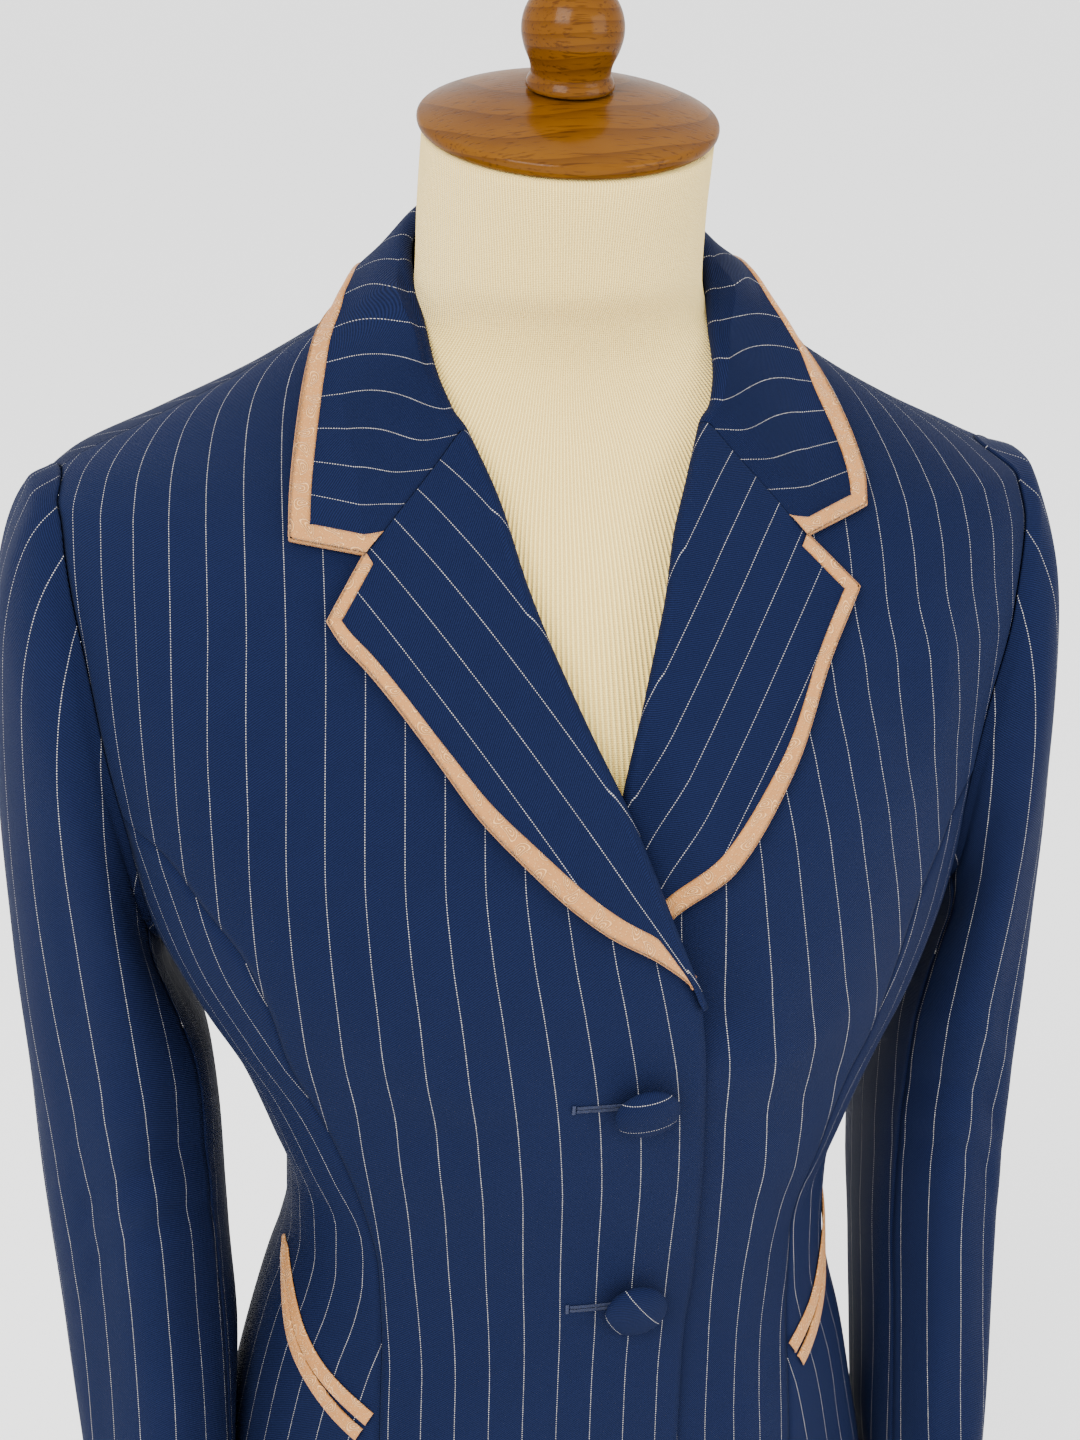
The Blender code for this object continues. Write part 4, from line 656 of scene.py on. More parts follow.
# creases: f or b for front or back, points as (x, level), depth (in is negative) and half width
CREASE_STEPS = 16
CREASES = (
    ("f", ((-0.030, 0.112), (-0.062, 0.124), (-0.100, 0.150)), 0.0016, 0.011),
    ("f", ((-0.034, 0.096), (-0.070, 0.100), (-0.104, 0.112)), -0.0018, 0.012),
    ("f", ((-0.030, 0.080), (-0.066, 0.070), (-0.098, 0.074)), 0.0013, 0.012),
    ("f", ((0.050, 0.112), (0.078, 0.122), (0.118, 0.146)), 0.0014, 0.011),
    ("f", ((0.052, 0.094), (0.080, 0.092), (0.116, 0.098)), -0.0018, 0.012),
    ("f", ((0.050, 0.074), (0.080, 0.058), (0.108, 0.052)), 0.0014, 0.012),
    ("f", ((-0.138, 0.218), (-0.122, 0.246), (-0.112, 0.280)), -0.0020, 0.012),
    ("f", ((-0.150, 0.236), (-0.142, 0.262), (-0.137, 0.290)), 0.0018, 0.010),
    ("f", ((0.134, 0.214), (0.120, 0.244), (0.111, 0.282)), -0.0020, 0.012),
    ("f", ((0.146, 0.236), (0.137, 0.264), (0.133, 0.292)), 0.0016, 0.010),
    ("f", ((-0.110, 0.042), (-0.098, 0.026), (-0.074, 0.016)), -0.0012, 0.010),
    ("f", ((0.110, 0.040), (0.096, 0.024), (0.072, 0.012)), -0.0014, 0.010),
    ("f", ((-0.062, -0.045), (-0.066, -0.110), (-0.074, -0.190)), 0.0022, 0.018),
    ("f", ((-0.020, -0.060), (-0.024, -0.120), (-0.026, -0.195)), -0.0018, 0.018),
    ("f", ((0.070, -0.050), (0.074, -0.120), (0.080, -0.195)), 0.0022, 0.018),
    ("f", ((0.118, -0.070), (0.124, -0.130), (0.130, -0.200)), -0.0020, 0.016),
    ("b", ((-0.070, 0.030), (-0.040, 0.022), (-0.008, 0.026)), -0.0020, 0.010),
    ("b", ((-0.072, 0.052), (-0.044, 0.046), (-0.006, 0.048)), 0.0014, 0.010),
    ("b", ((0.074, 0.034), (0.044, 0.024), (0.010, 0.022)), -0.0018, 0.010),
    ("b", ((0.070, 0.058), (0.040, 0.050), (0.012, 0.052)), 0.0014, 0.010),
    ("b", ((-0.130, 0.200), (-0.110, 0.235), (-0.092, 0.285)), -0.0018, 0.013),
    ("b", ((0.126, 0.196), (0.104, 0.238), (0.090, 0.280)), -0.0018, 0.013),
    ("b", ((-0.060, -0.050), (-0.068, -0.120), (-0.078, -0.200)), 0.0022, 0.018),
    ("b", ((0.052, -0.040), (0.064, -0.120), (0.070, -0.200)), 0.0022, 0.018),
    ("b", ((0.016, -0.060), (0.020, -0.120), (0.022, -0.200)), -0.0016, 0.016),
    ("b", ((-0.030, 0.330), (0.000, 0.322), (0.034, 0.331)), 0.0010, 0.012),
)


def crease_height(points):
    """What the creases and the cloth's slow unevenness add to the body's skin at these points."""
    height = np.zeros(points.shape[:-1])
    for facing, line, depth, width in CREASES:
        domain = (on_back if facing == "b" else on_front)(smooth_line(line, CREASE_STEPS))
        path = place(BODY, domain[:, 0], domain[:, 1])
        distance = np.full(points.shape[:-1], 1.0)
        along = np.zeros(points.shape[:-1])
        for index, (first, second) in enumerate(zip(path[:-1], path[1:])):
            step = second - first
            part = np.clip(((points - first) @ step) / (step @ step), 0.0, 1.0)
            away = np.linalg.norm(points - first - part[..., None] * step, axis=-1)
            closer = away < distance
            distance = np.where(closer, away, distance)
            along = np.where(closer, (index + part) / CREASE_STEPS, along)
        taper = np.sin(math.pi * np.clip(along, 0.02, 0.98)) ** 0.7
        height += depth * taper * np.exp(-((distance / (width * (0.75 + 0.5 * along))) ** 2))
    x, y, level = points[..., 0], points[..., 1], points[..., 2]
    slow = np.sin(41.0 * x + 23.0 * level + 0.7) * np.sin(37.0 * level - 19.0 * y + 1.9)
    slow += 0.6 * np.sin(73.0 * x - 31.0 * level + 2.3) * np.sin(61.0 * level + 47.0 * y)
    free = 1.0 - ease((level - 0.27) / 0.05)
    return height * (1.0 - ease((level - 0.335) / 0.02)) + 0.00035 * slow * free


def tuck(x, level):
    """How far the wearer's left front goes under the right one."""
    edge = np.asarray(ROLL_LINE["right"] + FRONT_EDGE[::-1][1:])
    edge = edge[np.argsort(edge[:, 1])]
    beyond = x - np.interp(level, edge[:, 1], edge[:, 0])
    depth = 0.0030 + 0.0062 * ease((level - 0.118) / 0.030)
    return -depth * (1.0 - ease((beyond - 0.006) / 0.028))


def layer(side, domain):
    """Height of the front's skin over the body shape."""
    if side == "right":
        return np.zeros(domain.shape[:-1])
    return tuck(place(BODY, domain[..., 0], domain[..., 1])[..., 0], domain[..., 1])


def skin(turn, level, out=0.0):
    """Point of the jacket's body with its creases, moved out along its normal."""
    point = place(BODY, turn, level)
    return point + body_normal(turn, level) * (np.asarray(out) + crease_height(point))[..., None]


# where each point of the body lies on flat cloth: distance round its section, and up from the waist
TURN_STEPS, LEVEL_STEPS = 720, 326
CLOTH_LOW, CLOTH_HIGH = -0.212, 0.44
WAIST_STEP = round(-CLOTH_LOW / (CLOTH_HIGH - CLOTH_LOW) * LEVEL_STEPS)
cloth_points = place(
    BODY, np.linspace(-math.pi, math.pi, TURN_STEPS + 1)[None, :],
    np.linspace(CLOTH_LOW, CLOTH_HIGH, LEVEL_STEPS + 1)[:, None],
)
across_steps = np.linalg.norm(np.diff(cloth_points, axis=1), axis=-1)
ACROSS = np.concatenate((np.zeros((LEVEL_STEPS + 1, 1)), np.cumsum(across_steps, axis=1)), axis=1)
ACROSS -= ACROSS[:, TURN_STEPS // 2][:, None]
up_steps = np.linalg.norm(np.diff(cloth_points, axis=0), axis=-1)
UP = np.concatenate((np.zeros((1, TURN_STEPS + 1)), np.cumsum(up_steps, axis=0)), axis=0)
UP -= UP[WAIST_STEP][None]


def from_table(table, turn, level):
    """Value of ACROSS or UP at any turn and level, by straight lines between its entries."""
    column = np.clip((turn + math.pi) / (2.0 * math.pi) * TURN_STEPS, 0.0, TURN_STEPS - 0.001)
    row = np.clip((level - CLOTH_LOW) / (CLOTH_HIGH - CLOTH_LOW) * LEVEL_STEPS, 0.0, LEVEL_STEPS - 0.001)
    left, low = column.astype(int), row.astype(int)
    right_part, high_part = column - left, row - low
    lower = table[low, left] * (1 - right_part) + table[low, left + 1] * right_part
    higher = table[low + 1, left] * (1 - right_part) + table[low + 1, left + 1] * right_part
    return lower * (1 - high_part) + higher * high_part


def on_cloth(domain, grain_turn=0.0):
    """Flat place on the cloth, across from a grain line at this turn (one for each level) and up."""
    turn, level = domain[..., 0], domain[..., 1]
    across = from_table(ACROSS, turn, level) - from_table(ACROSS, grain_turn + 0.0 * level, level)
    return np.stack([across, from_table(UP, turn, level)], axis=-1)


def front_edge(side):
    points = np.array(FRONT_EDGE)
    if side == "left":
        points[:, 0] = 2.0 * CLOSING_X - points[:, 0]
        points[-1] = ROLL_LINE["left"][0]
    return on_front(smooth_line(points, FRONT_EDGE_ROWS))


def roll_line(side, count=ROLL_ROWS):
    return on_front(smooth_line(ROLL_LINE[side], count))


def seam_to_armhole(side, rows, angle, laid):
    """Turn and level of a seam's points from the hem to the armhole, from its rows of x and level."""
    top = armhole(side, np.array([angle]))
    top_x = place(BODY, top[:, 0], top[:, 1])[0, 0]
    line = laid(smooth_line(rows + ((top_x, top[0, 1]),), SEAM_ROWS))
    line[-1] = top[0]
    return line


def princess_seam(side):
    return seam_to_armhole(side, PRINCESS_SEAM[side], PRINCESS_ANGLE, on_front)


def side_back_seam(side):
    return seam_to_armhole(side, SIDE_BACK_SEAM[side], SIDE_BACK_ANGLE, on_back)


def shoulder_points(side):
    """Shoulder seam from the neck to the armhole."""
    neck = (SIGN[side] * SHOULDER_SEAM_TURN, NECKLINE_SIDE_LEVEL)
    return straight(neck, armhole(side, np.array([0.0]))[0], FRONT_COLUMNS)


def twill_group():
    """Fine diagonal ribs of a worsted twill, with the slight unevenness of its yarns."""
    group, given, result = shader_group(
        "worsted twill", [("Cloth", "NodeSocketVector", None), ("Pitch", "NodeSocketFloat", TWILL)],
        [("Rise", "NodeSocketFloat"), ("Yarn", "NodeSocketFloat")],
    )
    across, up = split(group, given["Cloth"])
    wander = noise(group, given["Cloth"], 60.0, 1.0)[0]
    rise = reckon(group, "MULTIPLY_ADD", up, 0.839, reckon(group, "MULTIPLY", across, -0.545))
    phase = reckon(group, "MULTIPLY_ADD", wander, 2.0, reckon(group, "DIVIDE", rise, given["Pitch"]))
    group.links.new(reckon(group, "MULTIPLY_ADD", wave(group, phase, 1.0), 0.5, 0.5), result["Rise"])
    group.links.new(noise(group, given["Cloth"], 1400.0, 2.0)[0], result["Yarn"])
    return group


def clamped(tree, operation, first, second):
    return node(tree, "ShaderNodeMath", {0: first, 1: second}, operation=operation, use_clamp=True).outputs[0]


def stripe_group():
    """Pin stripe: one white warp yarn that shows as a row of stitches, every so far across the cloth."""
    group, given, result = shader_group(
        "pin stripe",
        [("Cloth", "NodeSocketVector", None), ("Spacing", "NodeSocketFloat", STRIPE),
         ("Width", "NodeSocketFloat", STRIPE_WIDTH), ("Stitch", "NodeSocketFloat", STRIPE_STITCH)],
        [("Mask", "NodeSocketFloat")],
    )
    across, up = split(group, given["Cloth"])
    count = reckon(group, "DIVIDE", across, given["Spacing"])
    off = reckon(group, "ABSOLUTE", reckon(group, "SUBTRACT", count, reckon(group, "ROUND", count)))
    off = reckon(group, "MULTIPLY", off, given["Spacing"])
    off = reckon(group, "DIVIDE", off, reckon(group, "MULTIPLY", given["Width"], 0.5))
    side = reckon(group, "MULTIPLY", reckon(group, "SUBTRACT", 1.15, off), 2.5)
    stitches = wave(group, reckon(group, "DIVIDE", up, given["Stitch"]), 1.0)
    dots = reckon(group, "MULTIPLY_ADD", stitches, 1.5, 0.55)
    strength = reckon(group, "MULTIPLY_ADD", noise(group, given["Cloth"], 420.0, 1.0)[0], 1.1, 0.35)
    mask = clamped(group, "MULTIPLY", clamped(group, "MINIMUM", side, dots), strength)
    group.links.new(mask, result["Mask"])
    return group


TWILL_WEAVE, PIN_STRIPE = twill_group(), stripe_group()


def navy_pinstripe():
    material, tree, shader = new_material("navy_pinstripe_twill", roughness=0.72, specular=0.045)
    cloth = cloth_place(tree)
    twill = placed_group(tree, TWILL_WEAVE, {"Cloth": cloth})
    stripe = placed_group(tree, PIN_STRIPE, {"Cloth": cloth})["Mask"]
    shade = placed_group(tree, UNEVEN, {"Size": 0.045, "Depth": 0.5})["Shade"]
    # painted shade: the twill's low grooves are coloured darker; the yarn noise added to it is the cloth's
    # own uneven tone
    ribs = reckon(tree, "MULTIPLY_ADD", twill["Rise"], -0.85, 0.28)
    yarn_tone_and_groove_shade = reckon(tree, "MULTIPLY_ADD", twill["Yarn"], 0.7, ribs)
    ground = blended(tree, reckon(tree, "MULTIPLY_ADD", shade, 0.35, yarn_tone_and_groove_shade), NAVY, NAVY_DARK_AND_GROOVE_SHADE)
    tree.links.new(blended(tree, stripe, ground, STRIPE_WHITE), shader.inputs["Base Color"])
    shader.inputs["Sheen Weight"].default_value = 0.02
    shader.inputs["Sheen Roughness"].default_value = 0.45
    shader.inputs["Sheen Tint"].default_value = (0.35, 0.45, 0.80, 1.0)
    tree.links.new(reckon(tree, "MULTIPLY_ADD", twill["Yarn"], 0.16, 0.64), shader.inputs["Roughness"])
    add_relief(tree, shader, reckon(tree, "MULTIPLY_ADD", stripe, 0.5, twill["Rise"]), 0.00026)
    return material


PINSTRIPE = navy_pinstripe()


def turned_down(points, edges, flip):
    """The grid with its seam edges turned down a little, as at a pressed seam."""
    across, up = np.gradient(points, axis=1), np.gradient(points, axis=0)
    normal = unit(np.cross(across, up)) * (-1.0 if flip else 1.0)
    drop = np.zeros(points.shape[:2])
    for edge in edges:
        seam = {"l": points[:, :1], "r": points[:, -1:], "b": points[:1], "t": points[-1:]}[edge]
        drop = np.maximum(drop, np.exp(-((np.linalg.norm(points - seam, axis=-1) / 0.0013) ** 2)))
    return points - normal * (drop * SEAM_DIP)[..., None]


def state_cut(made, wall):
    """The wall of a piece of cloth."""
    solid = made.modifiers.new("thickness", "SOLIDIFY")
    solid.thickness, solid.offset = wall, -1.0


def cut_cloth(name, points, flat, replaced, flip=False, seams="", wall=CLOTH,
              material=None):
    """A panel of cloth on a grid of points, with its places on flat cloth and its wall."""
    if seams:
        points = turned_down(trimmed(points, SEAM, seams), seams, flip)
    faces = grid_faces(*points.shape[:2], flip=flip)
    made = add_piece(name, points, faces, flat, material or PINSTRIPE, replaced)
    state_cut(made, wall)


# each front's stripes by level: how far one of them lies round the body from the middle, and their spacing
FRONT_STRIPES = {
    "right": np.array((
        (-0.210, -0.0022, 0.0141), (-0.060, -0.0020, 0.0140), (-0.030, -0.0014, 0.0140),
        (0.000, -0.0004, 0.0145), (0.030, -0.0004, 0.0151), (0.060, -0.0007, 0.0156),
        (0.090, -0.0027, 0.0160), (0.120, -0.0064, 0.0161), (0.150, -0.0117, 0.0157),
        (0.180, -0.0171, 0.0152), (0.210, -0.0202, 0.0148), (0.240, -0.0194, 0.0147),
        (0.300, -0.0170, 0.0145), (0.440, -0.0120, 0.0145),
    )),
    "left": np.array((
        (-0.210, 0.0500, 0.0135), (-0.060, 0.0500, 0.0128), (-0.030, 0.0510, 0.0128), (0.000, 0.0520, 0.0138),
        (0.030, 0.0532, 0.0156), (0.060, 0.0521, 0.0180), (0.090, 0.0507, 0.0193), (0.120, 0.0492, 0.0190),
        (0.150, 0.0468, 0.0176), (0.180, 0.0440, 0.0165), (0.210, 0.0415, 0.0152), (0.240, 0.0365, 0.0146),
        (0.270, 0.0300, 0.0146), (0.300, 0.0280, 0.0141), (0.440, 0.0280, 0.0141),
    )),
}


def front_panel(side):
    """Outer skin of a front, from the closing edge to the princess seam, with its cloth places."""
    neck = straight(shoulder_points(side)[0], roll_line(side)[-1], FRONT_NECK_ROWS)[::-1]
    start = np.concatenate((front_edge(side), roll_line(side)[1:], neck[1:]))
    end = np.concatenate((princess_seam(side), armhole(side, FRONT_ARM_ANGLES[::-1])[1:]))
    domain = patch(start, end, straight(start[0], end[0], FRONT_COLUMNS), shoulder_points(side))
    flat = on_cloth(domain)
    flat[..., 0] -= look_up(FRONT_STRIPES[side], 1, domain[..., 1])
    flat[..., 0] *= STRIPE / look_up(FRONT_STRIPES[side], 2, domain[..., 1])
    points = skin(domain[..., 0], domain[..., 1], layer(side, domain))
    neck_rows = points[-FRONT_NECK_ROWS:]
    neck_rows[:, 0] += unit(neck_rows[:, 1] - neck_rows[:, 0]) * 0.0020
    return trimmed(points, SEAM, "t"), flat


def back_panel(side):
    middle, nape = SIGN[side] * math.pi, (SIGN[side] * math.pi, NAPE_LEVEL)
    start = straight((middle, BODY[0, 0]), nape, SEAM_ROWS + BACK_ARM_ROWS)
    end = np.concatenate((side_back_seam(side), armhole(side, BACK_ARM_ANGLES)[1:]))
    shoulder = shoulder_points(side)
    high = np.concatenate((straight(nape, shoulder[0], NECK_COLUMNS), shoulder[1:]))
    domain = patch(start, end, straight(start[0], end[0], NECK_COLUMNS + FRONT_COLUMNS), high)
    flat = on_cloth(domain, middle) + (SIGN[side] * 0.5 * STRIPE, 0.0)
    return trimmed(skin(domain[..., 0], domain[..., 1]), SEAM, "t"), flat


def side_panel(side):
    start, end = princess_seam(side), side_back_seam(side)
    high = armhole(side, UNDER_ARM_ANGLES)
    domain = patch(start, end, straight(start[0], end[0], SIDE_COLUMNS), high)
    return skin(domain[..., 0], domain[..., 1]), on_cloth(domain, SIGN[side] * SIDE_GRAIN_TURN)


panels = {}
for wearer_side in ("right", "left"):
    for panel_name, make_grid, cut, seams in (
        ("back", back_panel, (0.190, 0.640, 0.0820), "lr"),
        ("side", side_panel, (0.225, 0.400, 0.0760), "lrt"),
        ("front", front_panel, (0.210, 0.640, 0.0900), "r"),
    ):
        name = f"{wearer_side}_{panel_name}"
        panels[name], flat = make_grid(wearer_side)
        flip = (wearer_side == "left") == (panel_name == "back")
        cut_cloth(f"{name}_panel", panels[name], flat, [name], flip=flip, seams=seams)

# ---------------------------------------------------------------- pockets
# A curved double-welt pocket on each side panel, bound in peach jacquard satin.
# Each welt is a folded bias strip, stitched along its slit; the pair meet at the slit and gape near the seam.

WELT_WIDTH_AT_SEAM, WELT_WIDTH_AT_SIDE, WELT_LIFT, SATIN_WALL = 0.0072, 0.0046, 0.00045, 0.0004
# a welt's section: shares of its width from the slit, and how far it rises there
WELT_SHARES = np.array((0.0, 0.04, 0.12, 0.25, 0.45, 0.65, 0.82, 0.93, 0.98, 1.0))
WELT_RISES = (0.0002, 0.0009, 0.00125, 0.00130, 0.00120, 0.00110, 0.00095, 0.0008, 0.0005, 0.0001)
PEACH, PEACH_LIGHT, PEACH_DARK = (0.390, 0.168, 0.042), (0.70, 0.370, 0.140), (0.22, 0.078, 0.017)
SATIN_THREAD = 0.00042      # pitch of the satin's slanting threads
# the slits: turn in degrees and level, from the side to the princess seam
POCKET_LINE = {
    "right": (
        (-86.0, -0.0020), (-79.5, -0.0105), (-73.6, -0.0200), (-67.5, -0.0300), (-61.5, -0.0385),
        (-55.5, -0.0460), (-48.8, -0.0535),
    ),
    "left": (
        (86.0, 0.0060), (79.5, -0.0025), (73.6, -0.0120), (67.5, -0.0220), (61.5, -0.0305),
        (55.5, -0.0375), (51.5, -0.0420),
    ),
}


def scattered(tree, where, scale, randomness):
    """Cells scattered over flat cloth."""
    inputs = {"Vector": where, "Scale": scale, "Randomness": randomness}
    return node(tree, "ShaderNodeTexVoronoi", inputs, voronoi_dimensions="2D").outputs


def paisley_group():
    """Small leaning drops with ringed outlines, scattered at all angles, as in a paisley jacquard."""
    group, given, result = shader_group(
        "paisley figure", [("Cloth", "NodeSocketVector", None), ("Size", "NodeSocketFloat", 0.0085)],
        [("Figure", "NodeSocketFloat"), ("Ground", "NodeSocketFloat")],
    )
    place_in_sizes = scaled(group, given["Cloth"], reckon(group, "DIVIDE", 1.0, given["Size"]))
    cells = scattered(group, place_in_sizes, 1.0, 0.6)
    offset = moved(group, "SUBTRACT", place_in_sizes, cells["Position"])
    angle = reckon(group, "MULTIPLY", split(group, cells["Color"])[0], 2.0 * math.pi)
    turned_offset = {"Vector": offset, "Angle": angle}
    spun = node(group, "ShaderNodeVectorRotate", turned_offset, rotation_type="Z_AXIS").outputs[0]
    along, aside = split(group, spun)
    squared = reckon(group, "MULTIPLY", along, along)
    aside = reckon(group, "SUBTRACT", aside, reckon(group, "MULTIPLY", squared, 0.9))
    narrow = reckon(group, "MAXIMUM", reckon(group, "MULTIPLY_ADD", along, 1.9, 2.1), 0.6)
    wide = reckon(group, "MULTIPLY", aside, narrow)
    far = reckon(group, "SQRT", reckon(group, "ADD", squared, reckon(group, "MULTIPLY", wide, wide)))
    rings = reckon(group, "SINE", reckon(group, "MULTIPLY", far, 34.0))
    past = reckon(group, "MULTIPLY", reckon(group, "SUBTRACT", far, 0.44), 16.0)
    inside = clamped(group, "SUBTRACT", 1.0, past)
    drop = reckon(group, "MULTIPLY", reckon(group, "MULTIPLY_ADD", rings, 0.8, 0.4), inside)
    sprigs = scattered(group, place_in_sizes, 4.6, 0.9)["Distance"]
    sprig = reckon(group, "MULTIPLY", reckon(group, "SUBTRACT", 0.30, sprigs), 9.0)
    beside = reckon(group, "MULTIPLY", sprig, reckon(group, "MULTIPLY_ADD", inside, -0.30, 0.30))
    group.links.new(clamped(group, "MAXIMUM", drop, beside), result["Figure"])
    thread = wave(group, reckon(group, "ADD", *split(group, given["Cloth"])), SATIN_THREAD)
    group.links.new(reckon(group, "MULTIPLY_ADD", thread, 0.5, 0.5), result["Ground"])
    return group


def peach_satin():
    material, tree, shader = new_material("peach_jacquard_satin", roughness=0.42, specular=0.32)
    paisley = placed_group(tree, paisley_group(), {"Cloth": cloth_place(tree)})
    shade = placed_group(tree, UNEVEN, {"Size": 0.012, "Depth": 1.0})["Shade"]
    ground = blended(tree, reckon(tree, "MULTIPLY", shade, 0.55), PEACH, PEACH_DARK)
    figured = blended(tree, reckon(tree, "MULTIPLY", paisley["Figure"], 0.70), ground, PEACH_LIGHT)
    tree.links.new(figured, shader.inputs["Base Color"])
    tree.links.new(reckon(tree, "MULTIPLY_ADD", paisley["Figure"], -0.16, 0.50), shader.inputs["Roughness"])
    shader.inputs["Sheen Weight"].default_value = 0.12
    shader.inputs["Sheen Roughness"].default_value = 0.30
    shader.inputs["Anisotropic"].default_value = 0.4
    height = reckon(tree, "MULTIPLY_ADD", paisley["Ground"], 0.10, paisley["Figure"])
    add_relief(tree, shader, height, 0.00050)
    return material


SATIN = peach_satin()


def laid_on(panel, points, directions, height):
    """Points brought along their directions to a height over a panel, which is a grid of points."""
    tree = BVHTree.FromPolygons(panel.reshape(-1, 3).tolist(), grid_faces(*panel.shape[:2]))
    found = []
    for point, direction, up in zip(points, directions, np.broadcast_to(height, len(points))):
        hit = tree.ray_cast(mathutils.Vector(point + direction * 0.02), mathutils.Vector(-direction), 0.04)[0]
        found.append(np.array(hit if hit else point) + direction * up)
    return np.array(found)


def make_welts(side):
    """The two welts of a side's pocket, laid along the slit's edges on the side panel."""
    line = smooth_line([(math.radians(turn), level) for turn, level in POCKET_LINE[side]], 64)
    slit = place(BODY, line[:, 0], line[:, 1])
    normal = body_normal(line[:, 0], line[:, 1])
    upwards = unit(np.cross(normal, np.gradient(slit, axis=0)))
    upwards *= np.sign(upwards[:, 2:])
    part = np.linspace(0.0, 1.0, len(line))
    width = WELT_WIDTH_AT_SIDE + (WELT_WIDTH_AT_SEAM - WELT_WIDTH_AT_SIDE) * ease(part * 1.6)
    width *= 0.25 + 0.75 * ease(part / 0.10)
    half_slit = 0.00020 + 0.0009 * ease((part - 0.60) / 0.35)
    up_cloth = run_length(slit)[:, None] + 0.1 * (side == "left")
    for name, way in (("upper", 1.0), ("lower", -1.0)):
        columns = []
        for share, rise in zip(WELT_SHARES, WELT_RISES):
            line_points = slit + upwards * way * (half_slit + share * width)[:, None]
            columns.append(laid_on(panels[f"{side}_side"], line_points, normal, rise + WELT_LIFT))
        across_cloth = way * WELT_SHARES * width[:, None] + way * 0.02
        cut_cloth(
            f"{side}_pocket_{name}_satin", np.stack(columns, axis=1),
            np.stack(np.broadcast_arrays(across_cloth, up_cloth), axis=-1), [f"{side}_pocket_{name}_welt"],
            flip=(side == "right") == (name == "upper"), wall=SATIN_WALL,
            material=SATIN,
        )


for wearer_side in ("right", "left"):
    make_welts(wearer_side)

# ---------------------------------------------------------------- sleeves
# Two-piece set-in sleeves of the same twill, eased into the armholes with a rounded head.
# They hang free at the sides, with long soft folds from the head and at the bend of the elbow.

# outer level, right and left outer x, inner level, right and left inner x, y, half depth, squareness
SLEEVES = np.array((
    (0.3340, 0.2045, 0.1850, 0.1360, 0.1670, 0.1640, 0.0060, 0.0600, 2.00),
    (0.3270, 0.2135, 0.1910, 0.1335, 0.1680, 0.1655, 0.0060, 0.0620, 2.05),
    (0.3100, 0.2210, 0.2000, 0.1290, 0.1680, 0.1660, 0.0062, 0.0635, 2.10),
    (0.2800, 0.2260, 0.2045, 0.1220, 0.1655, 0.1640, 0.0068, 0.0645, 2.15),
    (0.2350, 0.2275, 0.2065, 0.1120, 0.1600, 0.1590, 0.0075, 0.0645, 2.20),
    (0.1900, 0.2270, 0.2065, 0.1000, 0.1540, 0.1545, 0.0080, 0.0640, 2.25),
    (0.1400, 0.2245, 0.2055, 0.0820, 0.1480, 0.1500, 0.0075, 0.0630, 2.30),
    (0.0900, 0.2210, 0.2050, 0.0560, 0.1455, 0.1475, 0.0065, 0.0605, 2.30),
    (0.0400, 0.2180, 0.2035, 0.0250, 0.1440, 0.1460, 0.0045, 0.0580, 2.30),
    (-0.0050, 0.2145, 0.2015, -0.0130, 0.1425, 0.1460, 0.0010, 0.0555, 2.30),
    (-0.0500, 0.2105, 0.1995, -0.0540, 0.1410, 0.1475, -0.0060, 0.0535, 2.30),
    (-0.1000, 0.2070, 0.1975, -0.1020, 0.1420, 0.1485, -0.0150, 0.0515, 2.30),
    (-0.1500, 0.2045, 0.1955, -0.1510, 0.1450, 0.1485, -0.0245, 0.0495, 2.25),
    (-0.2000, 0.2025, 0.1935, -0.2005, 0.1485, 0.1480, -0.0340, 0.0475, 2.20),
    (-0.2480, 0.2010, 0.1915, -0.2480, 0.1500, 0.1475, -0.0420, 0.0460, 2.20),
))
# folds: turn from the top round the front, level, depth (in is negative), reach round and reach along
SLEEVE_FOLDS = {
    "right": (
        (62, 0.020, -0.0045, 20, 0.095), (92, -0.045, 0.0035, 18, 0.120), (34, 0.120, 0.0030, 20, 0.090),
        (262, 0.050, -0.0040, 24, 0.110), (120, 0.075, -0.0030, 22, 0.060),
        (48, -0.095, -0.0020, 13, 0.070), (76, 0.150, -0.0018, 12, 0.060), (20, -0.030, 0.0016, 14, 0.100),
        (300, 0.100, -0.0018, 16, 0.080), (240, -0.090, 0.0016, 16, 0.090), (105, -0.150, -0.0014, 14, 0.070),
    ),
    "left": (
        (74, 0.070, -0.0045, 22, 0.100), (50, -0.060, 0.0030, 20, 0.120), (100, -0.030, 0.0035, 18, 0.090),
        (270, 0.020, -0.0040, 24, 0.120), (28, 0.150, 0.0025, 24, 0.080),
        (60, -0.020, -0.0018, 12, 0.070), (88, 0.150, 0.0016, 14, 0.070), (34, 0.040, -0.0016, 13, 0.080),
        (298, 0.110, -0.0018, 16, 0.080), (236, -0.080, 0.0016, 16, 0.090), (92, -0.140, -0.0014, 14, 0.080),
    ),
}
SLEEVE_RINGS, SLEEVE_AIR, CLEAR_SOFTNESS = 130, 0.0040, 0.0015
FRONT_SEAM_COLUMN, HIND_SEAM_COLUMN = 60, -40       # counted on and back from the sleeve's top
# short slanting creases at the inside of the elbow: turn, level, depth, slope of the crease, half width
ELBOW_CREASES = {
    "right": (
        (96, 0.055, -0.0024, 0.35, 0.008), (100, 0.028, -0.0020, 0.25, 0.007),
        (92, 0.084, 0.0016, 0.40, 0.009), (250, 0.045, -0.0016, 0.30, 0.009),
    ),
    "left": (
        (96, 0.062, -0.0022, 0.32, 0.008), (102, 0.034, -0.0018, 0.22, 0.007),
        (94, 0.092, 0.0015, 0.42, 0.009), (252, 0.040, -0.0016, 0.30, 0.009),
    ),
}


def angle_from(angles, turn):
    """Angles from a turn given in degrees, the short way round."""
    return (angles - math.radians(turn) + math.pi) % (2.0 * math.pi) - math.pi


